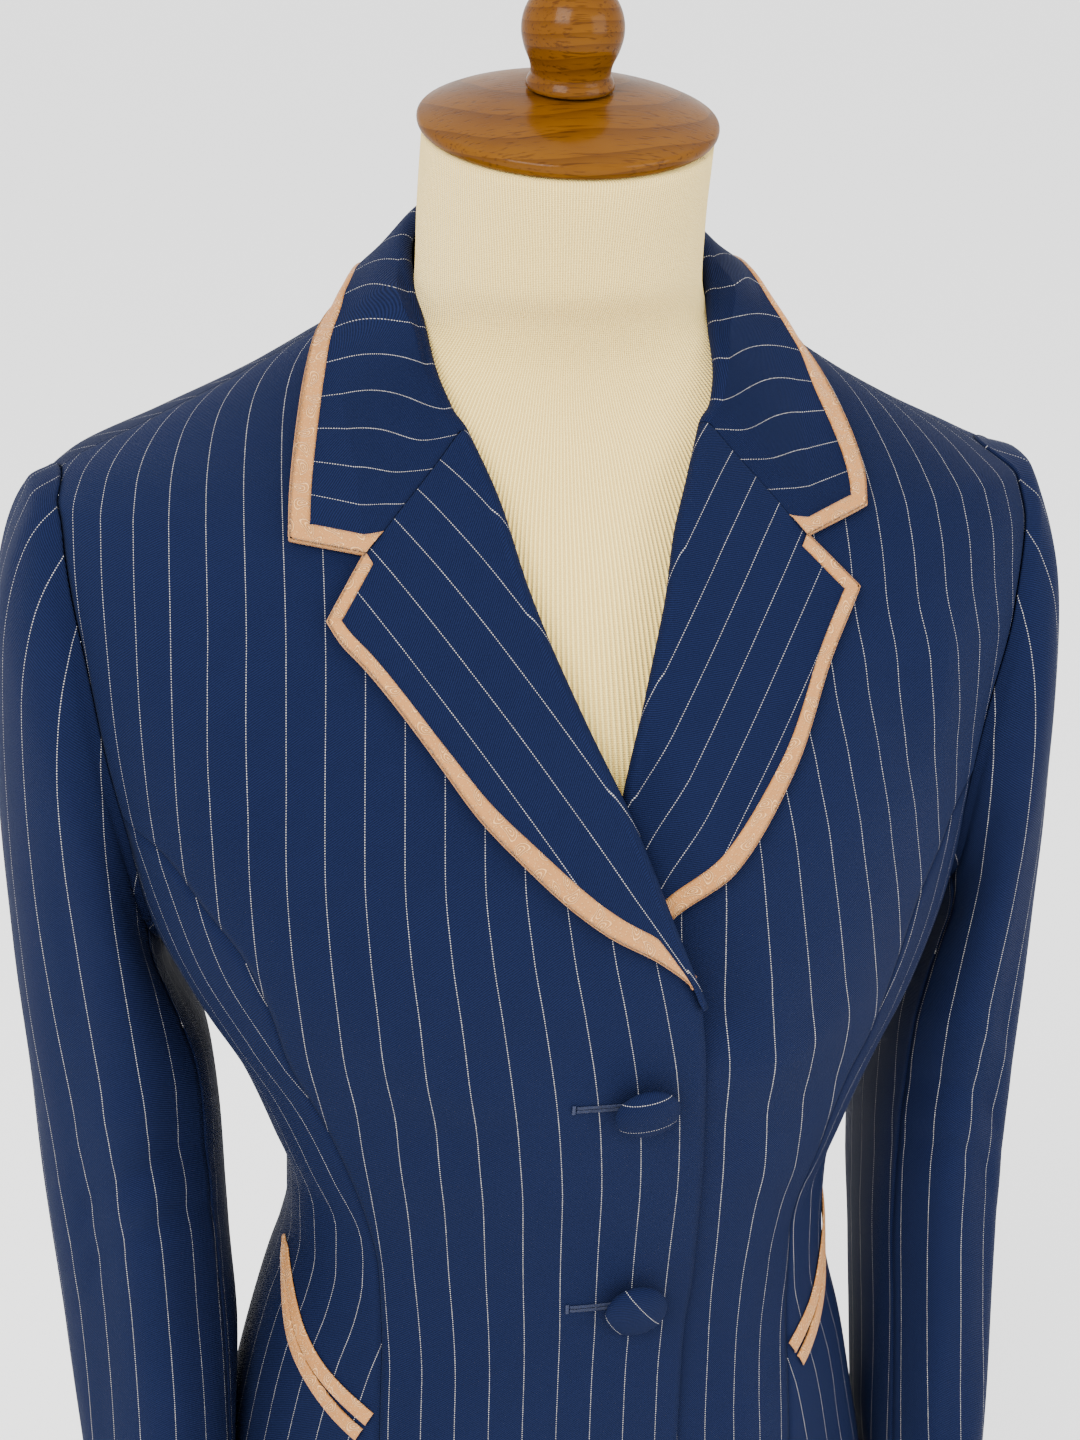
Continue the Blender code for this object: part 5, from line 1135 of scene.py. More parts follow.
def fold_sleeve(side, rings, angles):
    """Folds and creases, pushed in or out from the sleeve's middle."""
    middle, level = rings.mean(axis=1, keepdims=True), rings[..., 2]
    push = 0.0004 * np.sin(3.0 * angles + 38.0 * level) * np.sin(29.0 * level + angles)
    for turn, fold_level, depth, turn_reach, level_reach in SLEEVE_FOLDS[side]:
        beside = angle_from(angles, turn) / math.radians(turn_reach)
        push += depth * np.exp(-(beside ** 2)) * np.exp(-(((level - fold_level) / level_reach) ** 2))
    for turn, crease_level, depth, slope, width in ELBOW_CREASES[side]:
        beside = angle_from(angles, turn)
        off = level - crease_level - slope * 0.05 * beside + 0.03 * beside ** 2
        push += depth * np.exp(-((beside / 0.75) ** 2)) * np.exp(-((off / width) ** 2))
    push *= ease((0.235 - middle[..., 2]) / 0.08)
    return rings + unit(rings - middle) * push[..., None]


def clear_of_body(side, rings, amount):
    """The rings, moved out sideways wherever they would lie closer to the jacket's side than SLEEVE_AIR."""
    body_x = side_reach(side, rings[..., 1], np.maximum(rings[..., 2], FORM[0, 0]))[0]
    lacking = body_x + SLEEVE_AIR - rings[..., 0] * SIGN[side]
    rings = rings.copy()
    rings[..., 0] += SIGN[side] * CLEAR_SOFTNESS * np.logaddexp(0.0, lacking / CLEAR_SOFTNESS) * amount
    return rings


def sleeve_rings(side):
    """Rings of a sleeve's outer skin from the armhole to the cuff, each from the top round the front."""
    angles = np.concatenate((FRONT_ARM_ANGLES, UNDER_ARM_ANGLES[1:], BACK_ARM_ANGLES[1:-1]))
    keys = np.arange(len(SLEEVES), dtype=float)
    stations = np.linspace(0.0, len(SLEEVES) - 1.0, SLEEVE_RINGS + 1)
    table = np.concatenate((keys[:, None], SLEEVES), axis=1)
    top_level, right_top, left_top, low_level, right_low, left_low, centre_y, half_depth, square = [
        look_up(table, column, stations)[:, None] for column in range(1, table.shape[1])
    ]
    top_x, low_x = (right_top, right_low) if side == "right" else (left_top, left_low)
    cosine = np.sign(np.cos(angles)) * np.abs(np.cos(angles)) ** (2.0 / square)
    sine = np.sign(np.sin(angles)) * np.abs(np.sin(angles)) ** (2.0 / square)
    level = (top_level + low_level) / 2.0 + (top_level - low_level) / 2.0 * cosine
    x = (top_x + low_x) / 2.0 + (top_x - low_x) / 2.0 * cosine
    rings = np.stack([SIGN[side] * x, centre_y - half_depth * sine, level], axis=-1)
    hole = armhole(side, angles)
    hole_points = skin(hole[:, 0], hole[:, 1], -SEAM_DIP)
    rings += (hole_points - rings[0]) * (1.0 - ease(stations / 4.5))[:, None, None]
    return clear_of_body(side, fold_sleeve(side, rings, angles), ease(stations / 0.9)[:, None])


def laid_flat(points, flip, low, high):
    """Where each point of a grid lies once the piece is pressed flat.

    The result is turned so that the thread through two of its points, by row and column, runs straight up.
    """
    mesh = bpy.data.meshes.new("pressing")
    mesh.from_pydata(points.reshape(-1, 3).tolist(), [], grid_faces(*points.shape[:2], flip=flip))
    pressing = bpy.data.objects.new("pressing", mesh)
    bpy.context.scene.collection.objects.link(pressing)
    bpy.context.view_layer.objects.active = pressing
    pressing.select_set(True)
    bpy.ops.object.mode_set(mode="EDIT")
    bpy.ops.mesh.select_all(action="SELECT")
    bpy.ops.uv.unwrap(method="CONFORMAL", margin=0.0)
    bpy.ops.uv.select_all(action="SELECT")
    bpy.ops.uv.minimize_stretch(iterations=12)
    bpy.ops.object.mode_set(mode="OBJECT")
    loops, places = np.empty(len(mesh.loops), int), np.empty(len(mesh.loops) * 2)
    mesh.loops.foreach_get("vertex_index", loops)
    mesh.uv_layers.active.data.foreach_get("uv", places)
    flat = np.zeros((len(mesh.vertices), 2))
    flat[loops] = places.reshape(-1, 2)
    bpy.data.objects.remove(pressing)
    bpy.data.meshes.remove(mesh)
    flat = flat.reshape(*points.shape[:2], 2)
    worn, pressed = [
        sum(np.linalg.norm(np.diff(grid, axis=axis), axis=2).sum() for axis in (0, 1))
        for grid in (points, flat)
    ]
    up = flat[high] - flat[low]
    up /= np.linalg.norm(up)
    return (flat - flat[low]) @ np.array(((up[1], up[0]), (-up[0], up[1]))) * (worn / pressed)


def make_sleeve(side):
    """The top and the under sleeve, cut from the same rings at the two seams."""
    rings = sleeve_rings(side)
    count = rings.shape[1]
    hind = count + HIND_SEAM_COLUMN
    top_columns = [index % count for index in range(hind, count + FRONT_SEAM_COLUMN + 1)]
    under_columns = list(range(FRONT_SEAM_COLUMN, hind + 1))
    for name, columns, cut in (
        ("top_sleeve", top_columns, (0.215, 0.600, 0.0945)),
        ("under_sleeve", under_columns, (0.150, 0.420, 0.0500)),
    ):
        points, middle = rings[:, columns], len(columns) // 2
        places = laid_flat(points, side == "left", (SLEEVE_RINGS - 20, middle), (20, middle))
        cut_cloth(
            f"{side}_{name}_panel", trimmed(points, SEAM, "b"), places, [f"{side}_{name}"],
            flip=side == "left", seams="lr",
        )


for wearer_side in ("right", "left"):
    make_sleeve(wearer_side)

# ---------------------------------------------------------------- lapels
# Peaked lapels of the same twill, rolled over on the fronts and cut with their stripes along their length.
# Their outer edges are bound with a folded strip of the peach satin, five to eight millimetres wide.

LAPEL_WALL, LAPEL_REST, ROLL_GAP = 0.0016, 0.0012, 0.0008
ROLL_RADIUS, ROLL_RADIUS_AT_BREAK, ROLL_SETTLE = 0.0030, 0.0018, 0.045
COLLAR_BINDING, LAPEL_BINDING, PEAK_BINDING = 0.0074, 0.0076, 0.0050
NOTCH = {"right": (-0.0873, 0.3195), "left": (0.0800, 0.3200)}
LAPEL_EDGE = {
    "right": (
        (0.0316, 0.1552), (0.0280, 0.1634), (0.0166, 0.1742), (-0.0052, 0.1878), (-0.0365, 0.2158),
        (-0.0505, 0.2308), (-0.0640, 0.2495), (-0.0775, 0.2680), (-0.0905, 0.2838), (-0.0985, 0.2920),
        (-0.1025, 0.2983),
    ),
    "left": (
        (-0.0092, 0.1552), (-0.0060, 0.1640), (0.0040, 0.1760), (0.0204, 0.1880), (0.0472, 0.2103),
        (0.0681, 0.2411), (0.0866, 0.2817), (0.0988, 0.3019),
    ),
}
ROLL_ANGLES = np.radians(np.linspace(0.0, 180.0, 13))
# columns along the gorge, from there to the corner, finer steps in each, and the binding's own
GORGE_COLUMNS, NOTCH_COLUMNS, FINE, BAND = 32, 13, 4, 6
LAPEL_ROWS, LAPEL_EVEN_ROWS = 120, 64


def settled(distance, radius):
    """Height of a rolled piece's skin over what it lies on, at a distance from its roll."""
    top = 2.0 * radius - LAPEL_WALL
    edge = LAPEL_WALL + LAPEL_REST
    return edge + (top - edge) * (1.0 - ease(distance / ROLL_SETTLE))


def row_distance(points):
    steps = np.linalg.norm(np.diff(points, axis=1), axis=2)
    return np.concatenate((np.zeros((len(points), 1)), np.cumsum(steps, axis=1)), axis=1)


def with_band(fine, columns, width=COLLAR_BINDING):
    """Columns of a fine grid of points: even ones up to the bound edge, then those under the binding."""
    steps = np.linalg.norm(np.diff(fine[..., :3], axis=1), axis=2)
    to_edge = np.concatenate((np.cumsum(steps[:, ::-1], axis=1)[:, ::-1], np.zeros((len(fine), 1))), axis=1)
    found = []
    for row, distance, wide in zip(fine, to_edge, np.broadcast_to(width, len(fine))):
        keys = np.arange(len(row))
        start = np.interp(-min(wide, 0.6 * distance[0]), -distance, keys)
        band = np.linspace(start, len(row) - 1.0, BAND + 1)
        at = np.concatenate((np.linspace(0.0, start, columns), band[1:]))
        found.append(np.stack([np.interp(at, keys, values) for values in row.T], axis=-1))
    return np.stack(found)


def notched_end(roll_end, notch, tip, width=COLLAR_BINDING):
    """Fine points from the roll along the gorge seam to the notch, and on to the peak or corner."""
    tip_length = np.linalg.norm(place(BODY, *tip) - place(BODY, *notch))
    band_start = np.asarray(tip) + (np.asarray(notch) - np.asarray(tip)) * width / tip_length
    return np.concatenate((
        straight(roll_end, notch, GORGE_COLUMNS * FINE),
        straight(notch, band_start, (NOTCH_COLUMNS - 1) * FINE)[1:],
        straight(band_start, tip, FINE)[1:],
    ))


def lapel_domain(side):
    """Turn and level of a lapel's points, rows from break to gorge and columns from the roll to the edge."""
    start = roll_line(side, LAPEL_ROWS)
    edge = on_front(smooth_line(LAPEL_EDGE[side], LAPEL_ROWS))
    notch = on_front(np.array([NOTCH[side]]))[0]
    high = notched_end(start[-1], notch, edge[-1], PEAK_BINDING)
    low = straight(start[0], edge[0], len(high) - 1)
    up, across = np.linspace(0.0, 1.0, len(start)), np.linspace(0.0, 1.0, len(low))
    domain = between(start, edge, low, high, across[None, :, None], up[:, None, None])
    traced = np.concatenate((place(BODY, domain[..., 0], domain[..., 1]), domain), axis=-1)
    width = LAPEL_BINDING + (PEAK_BINDING - LAPEL_BINDING) * ease((up - 0.40) / 0.42)
    banded = with_band(traced, GORGE_COLUMNS + NOTCH_COLUMNS, width)
    return with_band(banded.transpose(1, 0, 2), LAPEL_EVEN_ROWS, PEAK_BINDING).transpose(1, 0, 2)[..., 3:]


def lapel_grid(side):
    """Outer skin of a lapel with its roll, and how far each point is round the roll from its end."""
    domain = lapel_domain(side)
    line = place(BODY, domain[:, 0, 0], domain[:, 0, 1])
    normal = body_normal(domain[:, 0, 0], domain[:, 0, 1])
    sideways = unit(np.cross(np.gradient(line, axis=0), normal))
    sideways *= SIGN[side] * np.sign(sideways[:, :1])
    part = run_length(line)
    part /= part[-1]
    radius = ROLL_RADIUS_AT_BREAK + (ROLL_RADIUS - ROLL_RADIUS_AT_BREAK) * ease(4.0 * part)
    base = layer(side, domain[:, 0]) + crease_height(line)
    roll = np.stack([
        line - sideways * (ROLL_GAP + radius * math.sin(angle))[:, None]
        + normal * (base + radius - LAPEL_WALL - radius * math.cos(angle))[:, None]
        for angle in ROLL_ANGLES
    ], axis=1)
    distance = row_distance(place(BODY, domain[..., 0], domain[..., 1]))
    bowed = 0.0012 * np.sin(math.pi * part)[:, None] * ease(distance / 0.02) * ease((0.075 - distance) / 0.05)
    height = layer(side, domain) + settled(distance, radius[:, None]) + bowed
    points = np.concatenate((roll, skin(domain[..., 0], domain[..., 1], height)[:, 1:]), axis=1)
    spread = np.concatenate((np.repeat(domain[:, :1], len(ROLL_ANGLES) - 1, axis=1), domain), axis=1)
    return points, spread


def grid_normals(points, flip):
    normal = unit(np.cross(np.gradient(points, axis=1), np.gradient(points, axis=0)))
    return -normal if flip else normal


def bind_edge(name, points, flat, replaced, flip, ends, first_row=0, to_gorge=False):
    """A folded satin strip wrapped round the last columns of a grid and the outer part of its end rows."""
    rows, columns = points.shape[:2]
    normal = grid_normals(points, flip)
    row_at, column_at = np.mgrid[0:rows, 0:columns].astype(float)
    step = COLLAR_BINDING / BAND
    inside = (column_at - (columns - 1 - BAND)) * step
    endwise = np.full(points.shape[:2], -1.0)
    corner_column = columns - 1 - BAND - (NOTCH_COLUMNS - 1)
    beyond = np.maximum(corner_column - column_at, 0.0) if to_gorge else 0.0
    if "t" in ends:
        endwise = np.maximum(endwise, (row_at - (rows - 1 - BAND) - beyond) * step)
    if "b" in ends:
        endwise = np.maximum(endwise, (BAND - row_at - beyond) * step)
    fold = np.hypot(np.maximum(inside, 0.0), np.maximum(endwise, 0.0))
    puff = np.sqrt(1.0 - (1.0 - np.clip(fold / 0.0012, 0.0, 1.0)) ** 2)
    mitre = np.exp(-(((inside - endwise) / 0.0005) ** 2)) * (np.minimum(inside, endwise) > -0.0002)
    top = points + normal * (0.00012 + 0.00080 * puff - 0.00030 * mitre)[..., None]
    faces = []
    for row in range(first_row, rows - 1):
        for column in range(corner_column, columns - 1):
            in_end = ("t" in ends and row >= rows - 1 - BAND) or ("b" in ends and row < BAND)
            if column >= columns - 1 - BAND or in_end:
                corner = row * columns + column
                face = (corner, corner + 1, corner + columns + 1, corner + columns)
                faces.append(face[::-1] if flip else face)
    # on the collar each end of the strip is cut off slantwise, along the gorge seam
    for past in range(BAND if to_gorge else 0):
        for depth in range(BAND - past):
            for outer, inner in ((depth, depth + 1), (rows - 1 - depth, rows - 2 - depth)):
                column, flipped = corner_column - 1 - past, flip != (outer > inner)
                face = [outer * columns + column, outer * columns + column + 1, inner * columns + column + 1]
                if depth < BAND - past - 1:
                    face.append(inner * columns + column)
                faces.append(face[::-1] if flipped else face)
    path = [(row, columns - 1) for row in range(first_row, rows)]
    if "t" in ends:
        path += [(rows - 1, column) for column in range(columns - 2, corner_column - 1, -1)]
    if "b" in ends:
        path = [(0, column) for column in range(corner_column, columns - 1)] + path
    where = tuple(np.array(path).T)
    sideways = np.zeros_like(points)
    sideways[:, -1] += unit(points[:, -1] - points[:, -2])
    if "t" in ends:
        sideways[-1, corner_column:] += unit(points[-1, corner_column:] - points[-2, corner_column:])
    if "b" in ends:
        sideways[0, corner_column:] += unit(points[0, corner_column:] - points[1, corner_column:])
    outward, up, edge = unit(sideways[where]), normal[where], points[where]
    rings = [edge + outward * out + up * high for out, high in (
        (0.00030, 0.00072), (0.00052, 0.00030), (0.00056, -0.0006), (0.00048, -0.0014), (0.00010, -0.0019),
        (-0.0010, -0.0021), (-0.0045, -0.0021),
    )]
    first = len(points.reshape(-1, 3))
    rims = [[row * columns + column for row, column in path]]
    for index in range(len(rings)):
        rims.append([first + index * len(path) + step_at for step_at in range(len(path))])
    every = np.concatenate([top.reshape(-1, 3)] + rings)
    for inner, outer in zip(rims[:-1], rims[1:]):
        for index in range(len(path) - 1):
            face = (inner[index], outer[index], outer[index + 1], inner[index + 1])
            faces.append(face if flip else face[::-1])
    turned_flat = [flat[where] + (0.0013 * (index + 1), 0.0007 * index) for index in range(len(rings))]
    wrapped = np.concatenate([flat.reshape(-1, 2)] + turned_flat)
    used = sorted({index for face in faces for index in face})
    order = {old: new for new, old in enumerate(used)}
    faces = [tuple(order[index] for index in face) for face in faces]
    made = add_piece(name, every[used], faces, wrapped[used], SATIN, replaced)
    state_cut(made, SATIN_WALL)


# a point on one stripe of each lapel, across and up from the waist's middle; its lean; the stripes' spacing
LAPEL_GRAIN = {"right": (-0.0310, 0.2840, -0.66, 0.0146), "left": (0.0495, 0.2840, 0.58, 0.0130)}


def leaning_cloth(domain, points, grain, side):
    """Flat places on a piece whose stripes lean, counted from a point on one of them."""
    grain_across, grain_up, slope, spacing = grain
    lean = 1.0 / math.hypot(1.0, slope)
    run = row_distance(points)
    rolled = np.minimum(run - run[:, len(ROLL_ANGLES) - 1][:, None], 0.0) * SIGN[side]
    across, up = np.moveaxis(on_cloth(domain) - np.array((grain_across, grain_up)), -1, 0)
    across = across + rolled
    return np.stack([(across - slope * up) * lean * STRIPE / spacing, (up + slope * across) * lean], axis=-1)


for wearer_side in ("right", "left"):
    points, domain = lapel_grid(wearer_side)
    flat = leaning_cloth(domain, points, LAPEL_GRAIN[wearer_side], wearer_side)
    points = trimmed(points, SEAM, "t")
    cut_cloth(
        f"{wearer_side}_lapel_facing", points, flat, [f"{wearer_side}_lapel"],
        flip=wearer_side == "right", wall=LAPEL_WALL,
    )
    bind_edge(
        f"{wearer_side}_lapel_satin", points, flat, [f"{wearer_side}_lapel_binding"],
        wearer_side == "right", "t", first_row=3,
    )

# ---------------------------------------------------------------- collar
# A notched collar in one piece, cut across the cloth so that its stripes run round the neck's height.
# It stands up round the neck, rolls over and falls on the shoulders; its edge is bound as the lapels' are.

# the roll's crest from the gorge to the centre back: distance to the side, y and level
COLLAR_ROLL = {
    "right": (
        (0.0465, -0.0480, 0.3573), (0.0540, -0.0345, 0.3750), (0.0606, -0.0160, 0.3935),
        (0.0636, 0.0040, 0.4085), (0.0612, 0.0260, 0.4195), (0.0505, 0.0450, 0.4275),
        (0.0278, 0.0600, 0.4320), (0.0000, 0.0650, 0.4330),
    ),
    "left": (
        (0.0465, -0.0480, 0.3573), (0.0528, -0.0345, 0.3750), (0.0582, -0.0160, 0.3935),
        (0.0609, 0.0040, 0.4085), (0.0590, 0.0260, 0.4195), (0.0492, 0.0450, 0.4275),
        (0.0272, 0.0600, 0.4320), (0.0000, 0.0650, 0.4330),
    ),
}
# the fall's outer edge from its corner to the centre back: distance to the side and y
COLLAR_EDGE = {
    "right": (
        (0.1141, -0.0680), (0.1124, -0.0573), (0.1083, -0.0397), (0.1017, -0.0180), (0.0925, 0.0030),
        (0.0808, 0.0200), (0.0720, 0.0385), (0.0618, 0.0570), (0.0458, 0.0700), (0.0240, 0.0780),
        (0.0000, 0.0803),
    ),
    "left": (
        (0.1058, -0.0638), (0.1068, -0.0560), (0.1062, -0.0447), (0.1022, -0.0288), (0.0952, -0.0139),
        (0.0850, -0.0005), (0.0760, 0.0160), (0.0690, 0.0360), (0.0598, 0.0560), (0.0452, 0.0700),
        (0.0240, 0.0780), (0.0000, 0.0803),
    ),
}
# share of the way from the gorge to the centre back, and the stripe's number there at the roll and the edge
COLLAR_STRIPES = {
    "right": np.array((
        (0.00, 2.10, -1.25), (0.06, 3.00, 0.00), (0.17, 4.00, 2.15), (0.27, 5.05, 4.00), (0.36, 6.00, 5.35),
        (0.46, 7.00, 6.50), (0.55, 8.00, 7.60), (0.70, 9.60, 9.60), (1.00, 13.50, 13.50),
    )),
    "left": np.array((
        (0.00, 2.20, -1.22), (0.06, 2.97, -0.05), (0.17, 4.05, 1.95), (0.27, 5.07, 3.95), (0.355, 6.03, 5.38),
        (0.455, 7.02, 6.60), (0.55, 8.00, 7.75), (0.70, 9.60, 9.60), (1.00, 13.50, 13.50),
    )),
}
# share of the way round the neck at which the fall starts to belly out over its own edge
COLLAR_BELLY = {"right": 0.34, "left": 0.18}
COLLAR_ROWS, COLLAR_SETTLE = 100, 0.30
STRIPES_ROUND = 27.0        # stripes from one end of the collar to the other
STRIPE_RATE, STRIPE_BOW = 0.62, 0.27


def level_in_plan(x, y):
    """Level at which the body's section passes through x, y, between the bust and the neck."""
    low, high = np.full(np.shape(x), 0.20), np.full(np.shape(x), 0.43)
    for _ in range(40):
        middle = (low + high) / 2.0
        side_y = look_up(BODY, SIDE_Y, middle)
        turn = np.arctan2(x, side_y - y)
        reach = np.linalg.norm(place(BODY, turn, middle)[..., :2] - np.stack([0.0 * x, side_y], -1), axis=-1)
        inside = np.hypot(x, y - side_y) < reach
        low, high = np.where(inside, middle, low), np.where(inside, high, middle)
    return (low + high) / 2.0


def collar_line(side):
    return smooth_line([(SIGN[side] * x, y, level) for x, y, level in COLLAR_ROLL[side]], COLLAR_ROWS)


def collar_edge(side):
    """Outer edge of the fall, on the body's skin, from the corner to the centre back."""
    plan = smooth_line([(SIGN[side] * x, y) for x, y in COLLAR_EDGE[side]], COLLAR_ROWS)
    level = level_in_plan(plan[:, 0], plan[:, 1])
    return np.stack([np.arctan2(plan[:, 0], look_up(BODY, SIDE_Y, level) - plan[:, 1]), level], axis=-1)


def neckline(side):
    """Neck seam from the gorge to the centre back."""
    neck, front_rows = shoulder_points(side)[0], COLLAR_ROWS * 3 // 8
    front = straight(roll_line(side)[-1], neck, front_rows)
    back = straight(neck, (SIGN[side] * math.pi, NAPE_LEVEL), COLLAR_ROWS - front_rows)
    return np.concatenate((front, back[1:]))


def raised_over_body(points):
    """The points, pushed out along the body's normal where they would lie closer than a resting fall."""
    level = points[..., 2]
    turn = np.arctan2(points[..., 0], look_up(BODY, SIDE_Y, level) - points[..., 1])
    for _ in range(4):
        gap = points - place(BODY, turn, level)
        across = place(BODY, turn + 0.02, level) - place(BODY, turn - 0.02, level)
        up = place(BODY, turn, level + 0.002) - place(BODY, turn, level - 0.002)
        turn = turn + 0.04 * np.sum(gap * across, axis=-1) / np.sum(across * across, axis=-1)
        level = np.clip(level + 0.004 * np.sum(gap * up, axis=-1) / np.sum(up * up, axis=-1), 0.25, 0.436)
    normal = body_normal(turn, level)
    height = np.sum((points - place(BODY, turn, level)) * normal, axis=-1)
    lacking = LAPEL_WALL + LAPEL_REST + 0.0008 * ease((level - 0.340) / 0.03) - height
    push = 0.0012 * np.logaddexp(0.0, lacking / 0.0012) * (1.0 - ease((level - 0.393) / 0.020))
    return points + normal * push[..., None]


def resampled_rows(points, rows):
    """The rows of a grid moved to match those of a banded fall: even ones, then those of the band."""
    return with_band(points[::-1].transpose(1, 0, 2), rows).transpose(1, 0, 2)[::-1]


def stripe_count(side, part, fall):
    """The number of the stripe at each point of the fall, with the share between two stripes."""
    at_roll, at_edge = look_up(COLLAR_STRIPES[side], 1, part), look_up(COLLAR_STRIPES[side], 2, part)
    chord, away = fall[:, -1] - fall[:, 0], fall - fall[:, :1]
    chord_square = np.sum(chord * chord, axis=-1)
    share = np.sum(away * chord[:, None], axis=-1) / chord_square[:, None]
    climb = np.gradient((fall[:, 0] + fall[:, -1]) / 2.0, axis=0)
    climb -= chord * (np.sum(climb * chord, axis=-1) / chord_square)[:, None]
    rate = STRIPE_RATE * np.gradient((at_roll + at_edge) / 2.0) / np.sum(climb * climb, axis=-1)
    aside = np.sum((away - share[..., None] * chord[:, None]) * climb[:, None], axis=-1) * rate[:, None]
    bow = STRIPE_BOW * ease((part - 0.02) / 0.12) * (1.0 - ease((part - 0.40) / 0.30))
    count = at_roll[:, None] * (1.0 - share) + at_edge[:, None] * share
    count = count + aside * (1.0 - ease((part - 0.3) / 0.2))[:, None]
    return count - bow[:, None] * np.sin(math.pi * np.clip(share, 0.0, 1.0))


def collar_half(side):
    """Outer skin of half the collar: rows from the gorge to the centre back; stand, roll and fall."""
    part = np.linspace(0.0, 1.0, COLLAR_ROWS + 1)
    lying = (1.0 - ease((part - 0.02) / COLLAR_SETTLE))[:, None]
    gorge = roll_line(side)[-1]
    seam = neckline(side)
    seam_normal = body_normal(seam[:, 0], seam[:, 1])
    crest = collar_line(side)
    run = unit(np.gradient(crest, axis=0))
    away = crest * np.array((1.0, 1.0, 0.0))
    away[-1] = (0.0, crest[-1, 1], 0.0)
    over = unit(lying * seam_normal + (1.0 - lying) * (unit(away) + np.array((0.0, 0.0, -0.25))))
    over = unit(over - run * np.sum(over * run, axis=1, keepdims=True))
    top = unit(np.cross(run, over))
    top *= np.sign(np.sum(top * (np.array((0.0, 0.0, 1.0)) - 0.6 * unit(away)), axis=1, keepdims=True))
    lapel_line = place(BODY, roll_line(side)[:, 0], roll_line(side)[:, 1])
    gorge_across = unit(np.cross(np.gradient(lapel_line, axis=0)[-1], body_normal(*gorge)))
    gorge_across *= SIGN[side] * np.sign(gorge_across[0])
    joining = (1.0 - ease(part / 0.06))[:, None]
    top = unit(top * (1.0 - joining) - gorge_across * joining)
    over = unit(over * (1.0 - joining) + body_normal(*gorge) * joining)
    middle = crest - top * ROLL_RADIUS
    start = place(BODY, *gorge) + body_normal(*gorge) * (ROLL_RADIUS - LAPEL_WALL) - gorge_across * ROLL_GAP
    middle += (start - middle[0]) * joining
    edge = collar_edge(side)
    edge_normal = body_normal(edge[:, 0], edge[:, 1])
    resting = place(BODY, edge[:, 0], edge[:, 1]) + edge_normal * (LAPEL_WALL + LAPEL_REST)
    chord = unit(resting - middle)
    drop = np.arctan2(-np.sum(chord * top, axis=1), np.sum(chord * over, axis=1))
    standing = ease((part - 0.05) / 0.20)
    last = math.pi - standing * (math.pi / 2.0 - np.clip(drop, 0.0, math.pi / 2.0) + 0.22)
    angles = (last[:, None] * np.linspace(0.0, 1.0, len(ROLL_ANGLES)))[..., None]
    radius = ROLL_RADIUS + 0.0012 * standing[:, None, None]
    round_roll = np.sin(angles) * top[:, None] - np.cos(angles) * over[:, None]
    roll = (middle + (ROLL_RADIUS * top - radius[:, 0] * top))[:, None] + radius * round_roll
    seam_point = place(BODY, seam[:, 0], seam[:, 1])
    foot = seam_point - seam_normal * LAPEL_WALL + unit(roll[:, 0] - seam_point + 1e-9) * 0.0011
    foot[0] = roll[0, 0]
    shares = np.linspace(0.0, 1.0, 9)[None, :-1, None]
    stand = foot[:, None] * (1.0 - shares) + roll[:, :1] * shares
    notch = on_front(np.array([NOTCH[side]]))[0]
    across = np.linspace(0.0, 1.0, (GORGE_COLUMNS + NOTCH_COLUMNS) * FINE + 1)
    belly = ease((part - COLLAR_BELLY[side]) / 0.10) * (1.0 - ease((part - 0.72) / 0.20))
    puffed = (0.0024 * standing)[:, None] * np.sin(math.pi * across ** 0.8)[None, :]
    puffed = puffed + (0.0040 * belly)[:, None] * np.sin(math.pi * across ** 3.0)[None, :]
    fall = roll[:, -1:] + (resting - roll[:, -1])[:, None] * across[None, :, None]
    fall = raised_over_body(fall + (over[:, None] * 0.8 + top[:, None] * 0.6) * puffed[..., None])
    end = notched_end(gorge, notch, edge[0])
    end_distance = row_distance(place(BODY, end[:, 0], end[:, 1])[None])[0]
    end_row = skin(end[:, 0], end[:, 1], settled(end_distance, ROLL_RADIUS))
    fall = fall + (end_row - fall[0])[None] * (1.0 - ease(part / 0.34))[:, None, None]
    fall = raised_over_body(fall)
    fall = fall + (end_row - fall[0])[None] * (1.0 - ease(part / 0.05))[:, None, None]
    count = stripe_count(side, part, fall)
    fall = with_band(np.concatenate((fall, count[..., None]), axis=-1), GORGE_COLUMNS + NOTCH_COLUMNS)
    at_roll = look_up(COLLAR_STRIPES[side], 1, part)[:, None, None]
    inner = np.concatenate((stand, roll), axis=1)
    inner = np.concatenate((inner, np.broadcast_to(at_roll, (*inner.shape[:2], 1))), axis=-1)
    return resampled_rows(inner, COLLAR_ROWS), resampled_rows(fall, COLLAR_ROWS)


def make_collar():
    """The collar's two halves joined at the centre back, and its binding."""
    halves = [collar_half(side) for side in ("right", "left")]
    right, left = [np.concatenate((inner[:, :-1], fall), axis=1) for inner, fall in halves]
    left[..., 3] = STRIPES_ROUND - left[..., 3]
    centre = (right[-1] + left[-1]) / 2.0
    grid = np.concatenate((right[:-1], centre[None], left[:-1][::-1]))
    points = trimmed(grid[..., :3], SEAM, "bt")
    flat = np.stack([grid[..., 3] * STRIPE, -row_distance(points)], axis=-1)
    cut_cloth(
        "collar_cloth", points, flat, ["collar"], flip=True, wall=LAPEL_WALL,
    )
    bind_edge(
        "collar_satin", points, flat, ["collar_binding"], True,
        "tb", to_gorge=True,
    )


make_collar()

# ---------------------------------------------------------------- buttons and buttonholes
# Two domed buttons covered in the jacket's own cloth, each with a stripe across it, sewn to the left front
# and put through worked buttonholes: a slit edged with navy thread that ends in a short bar.

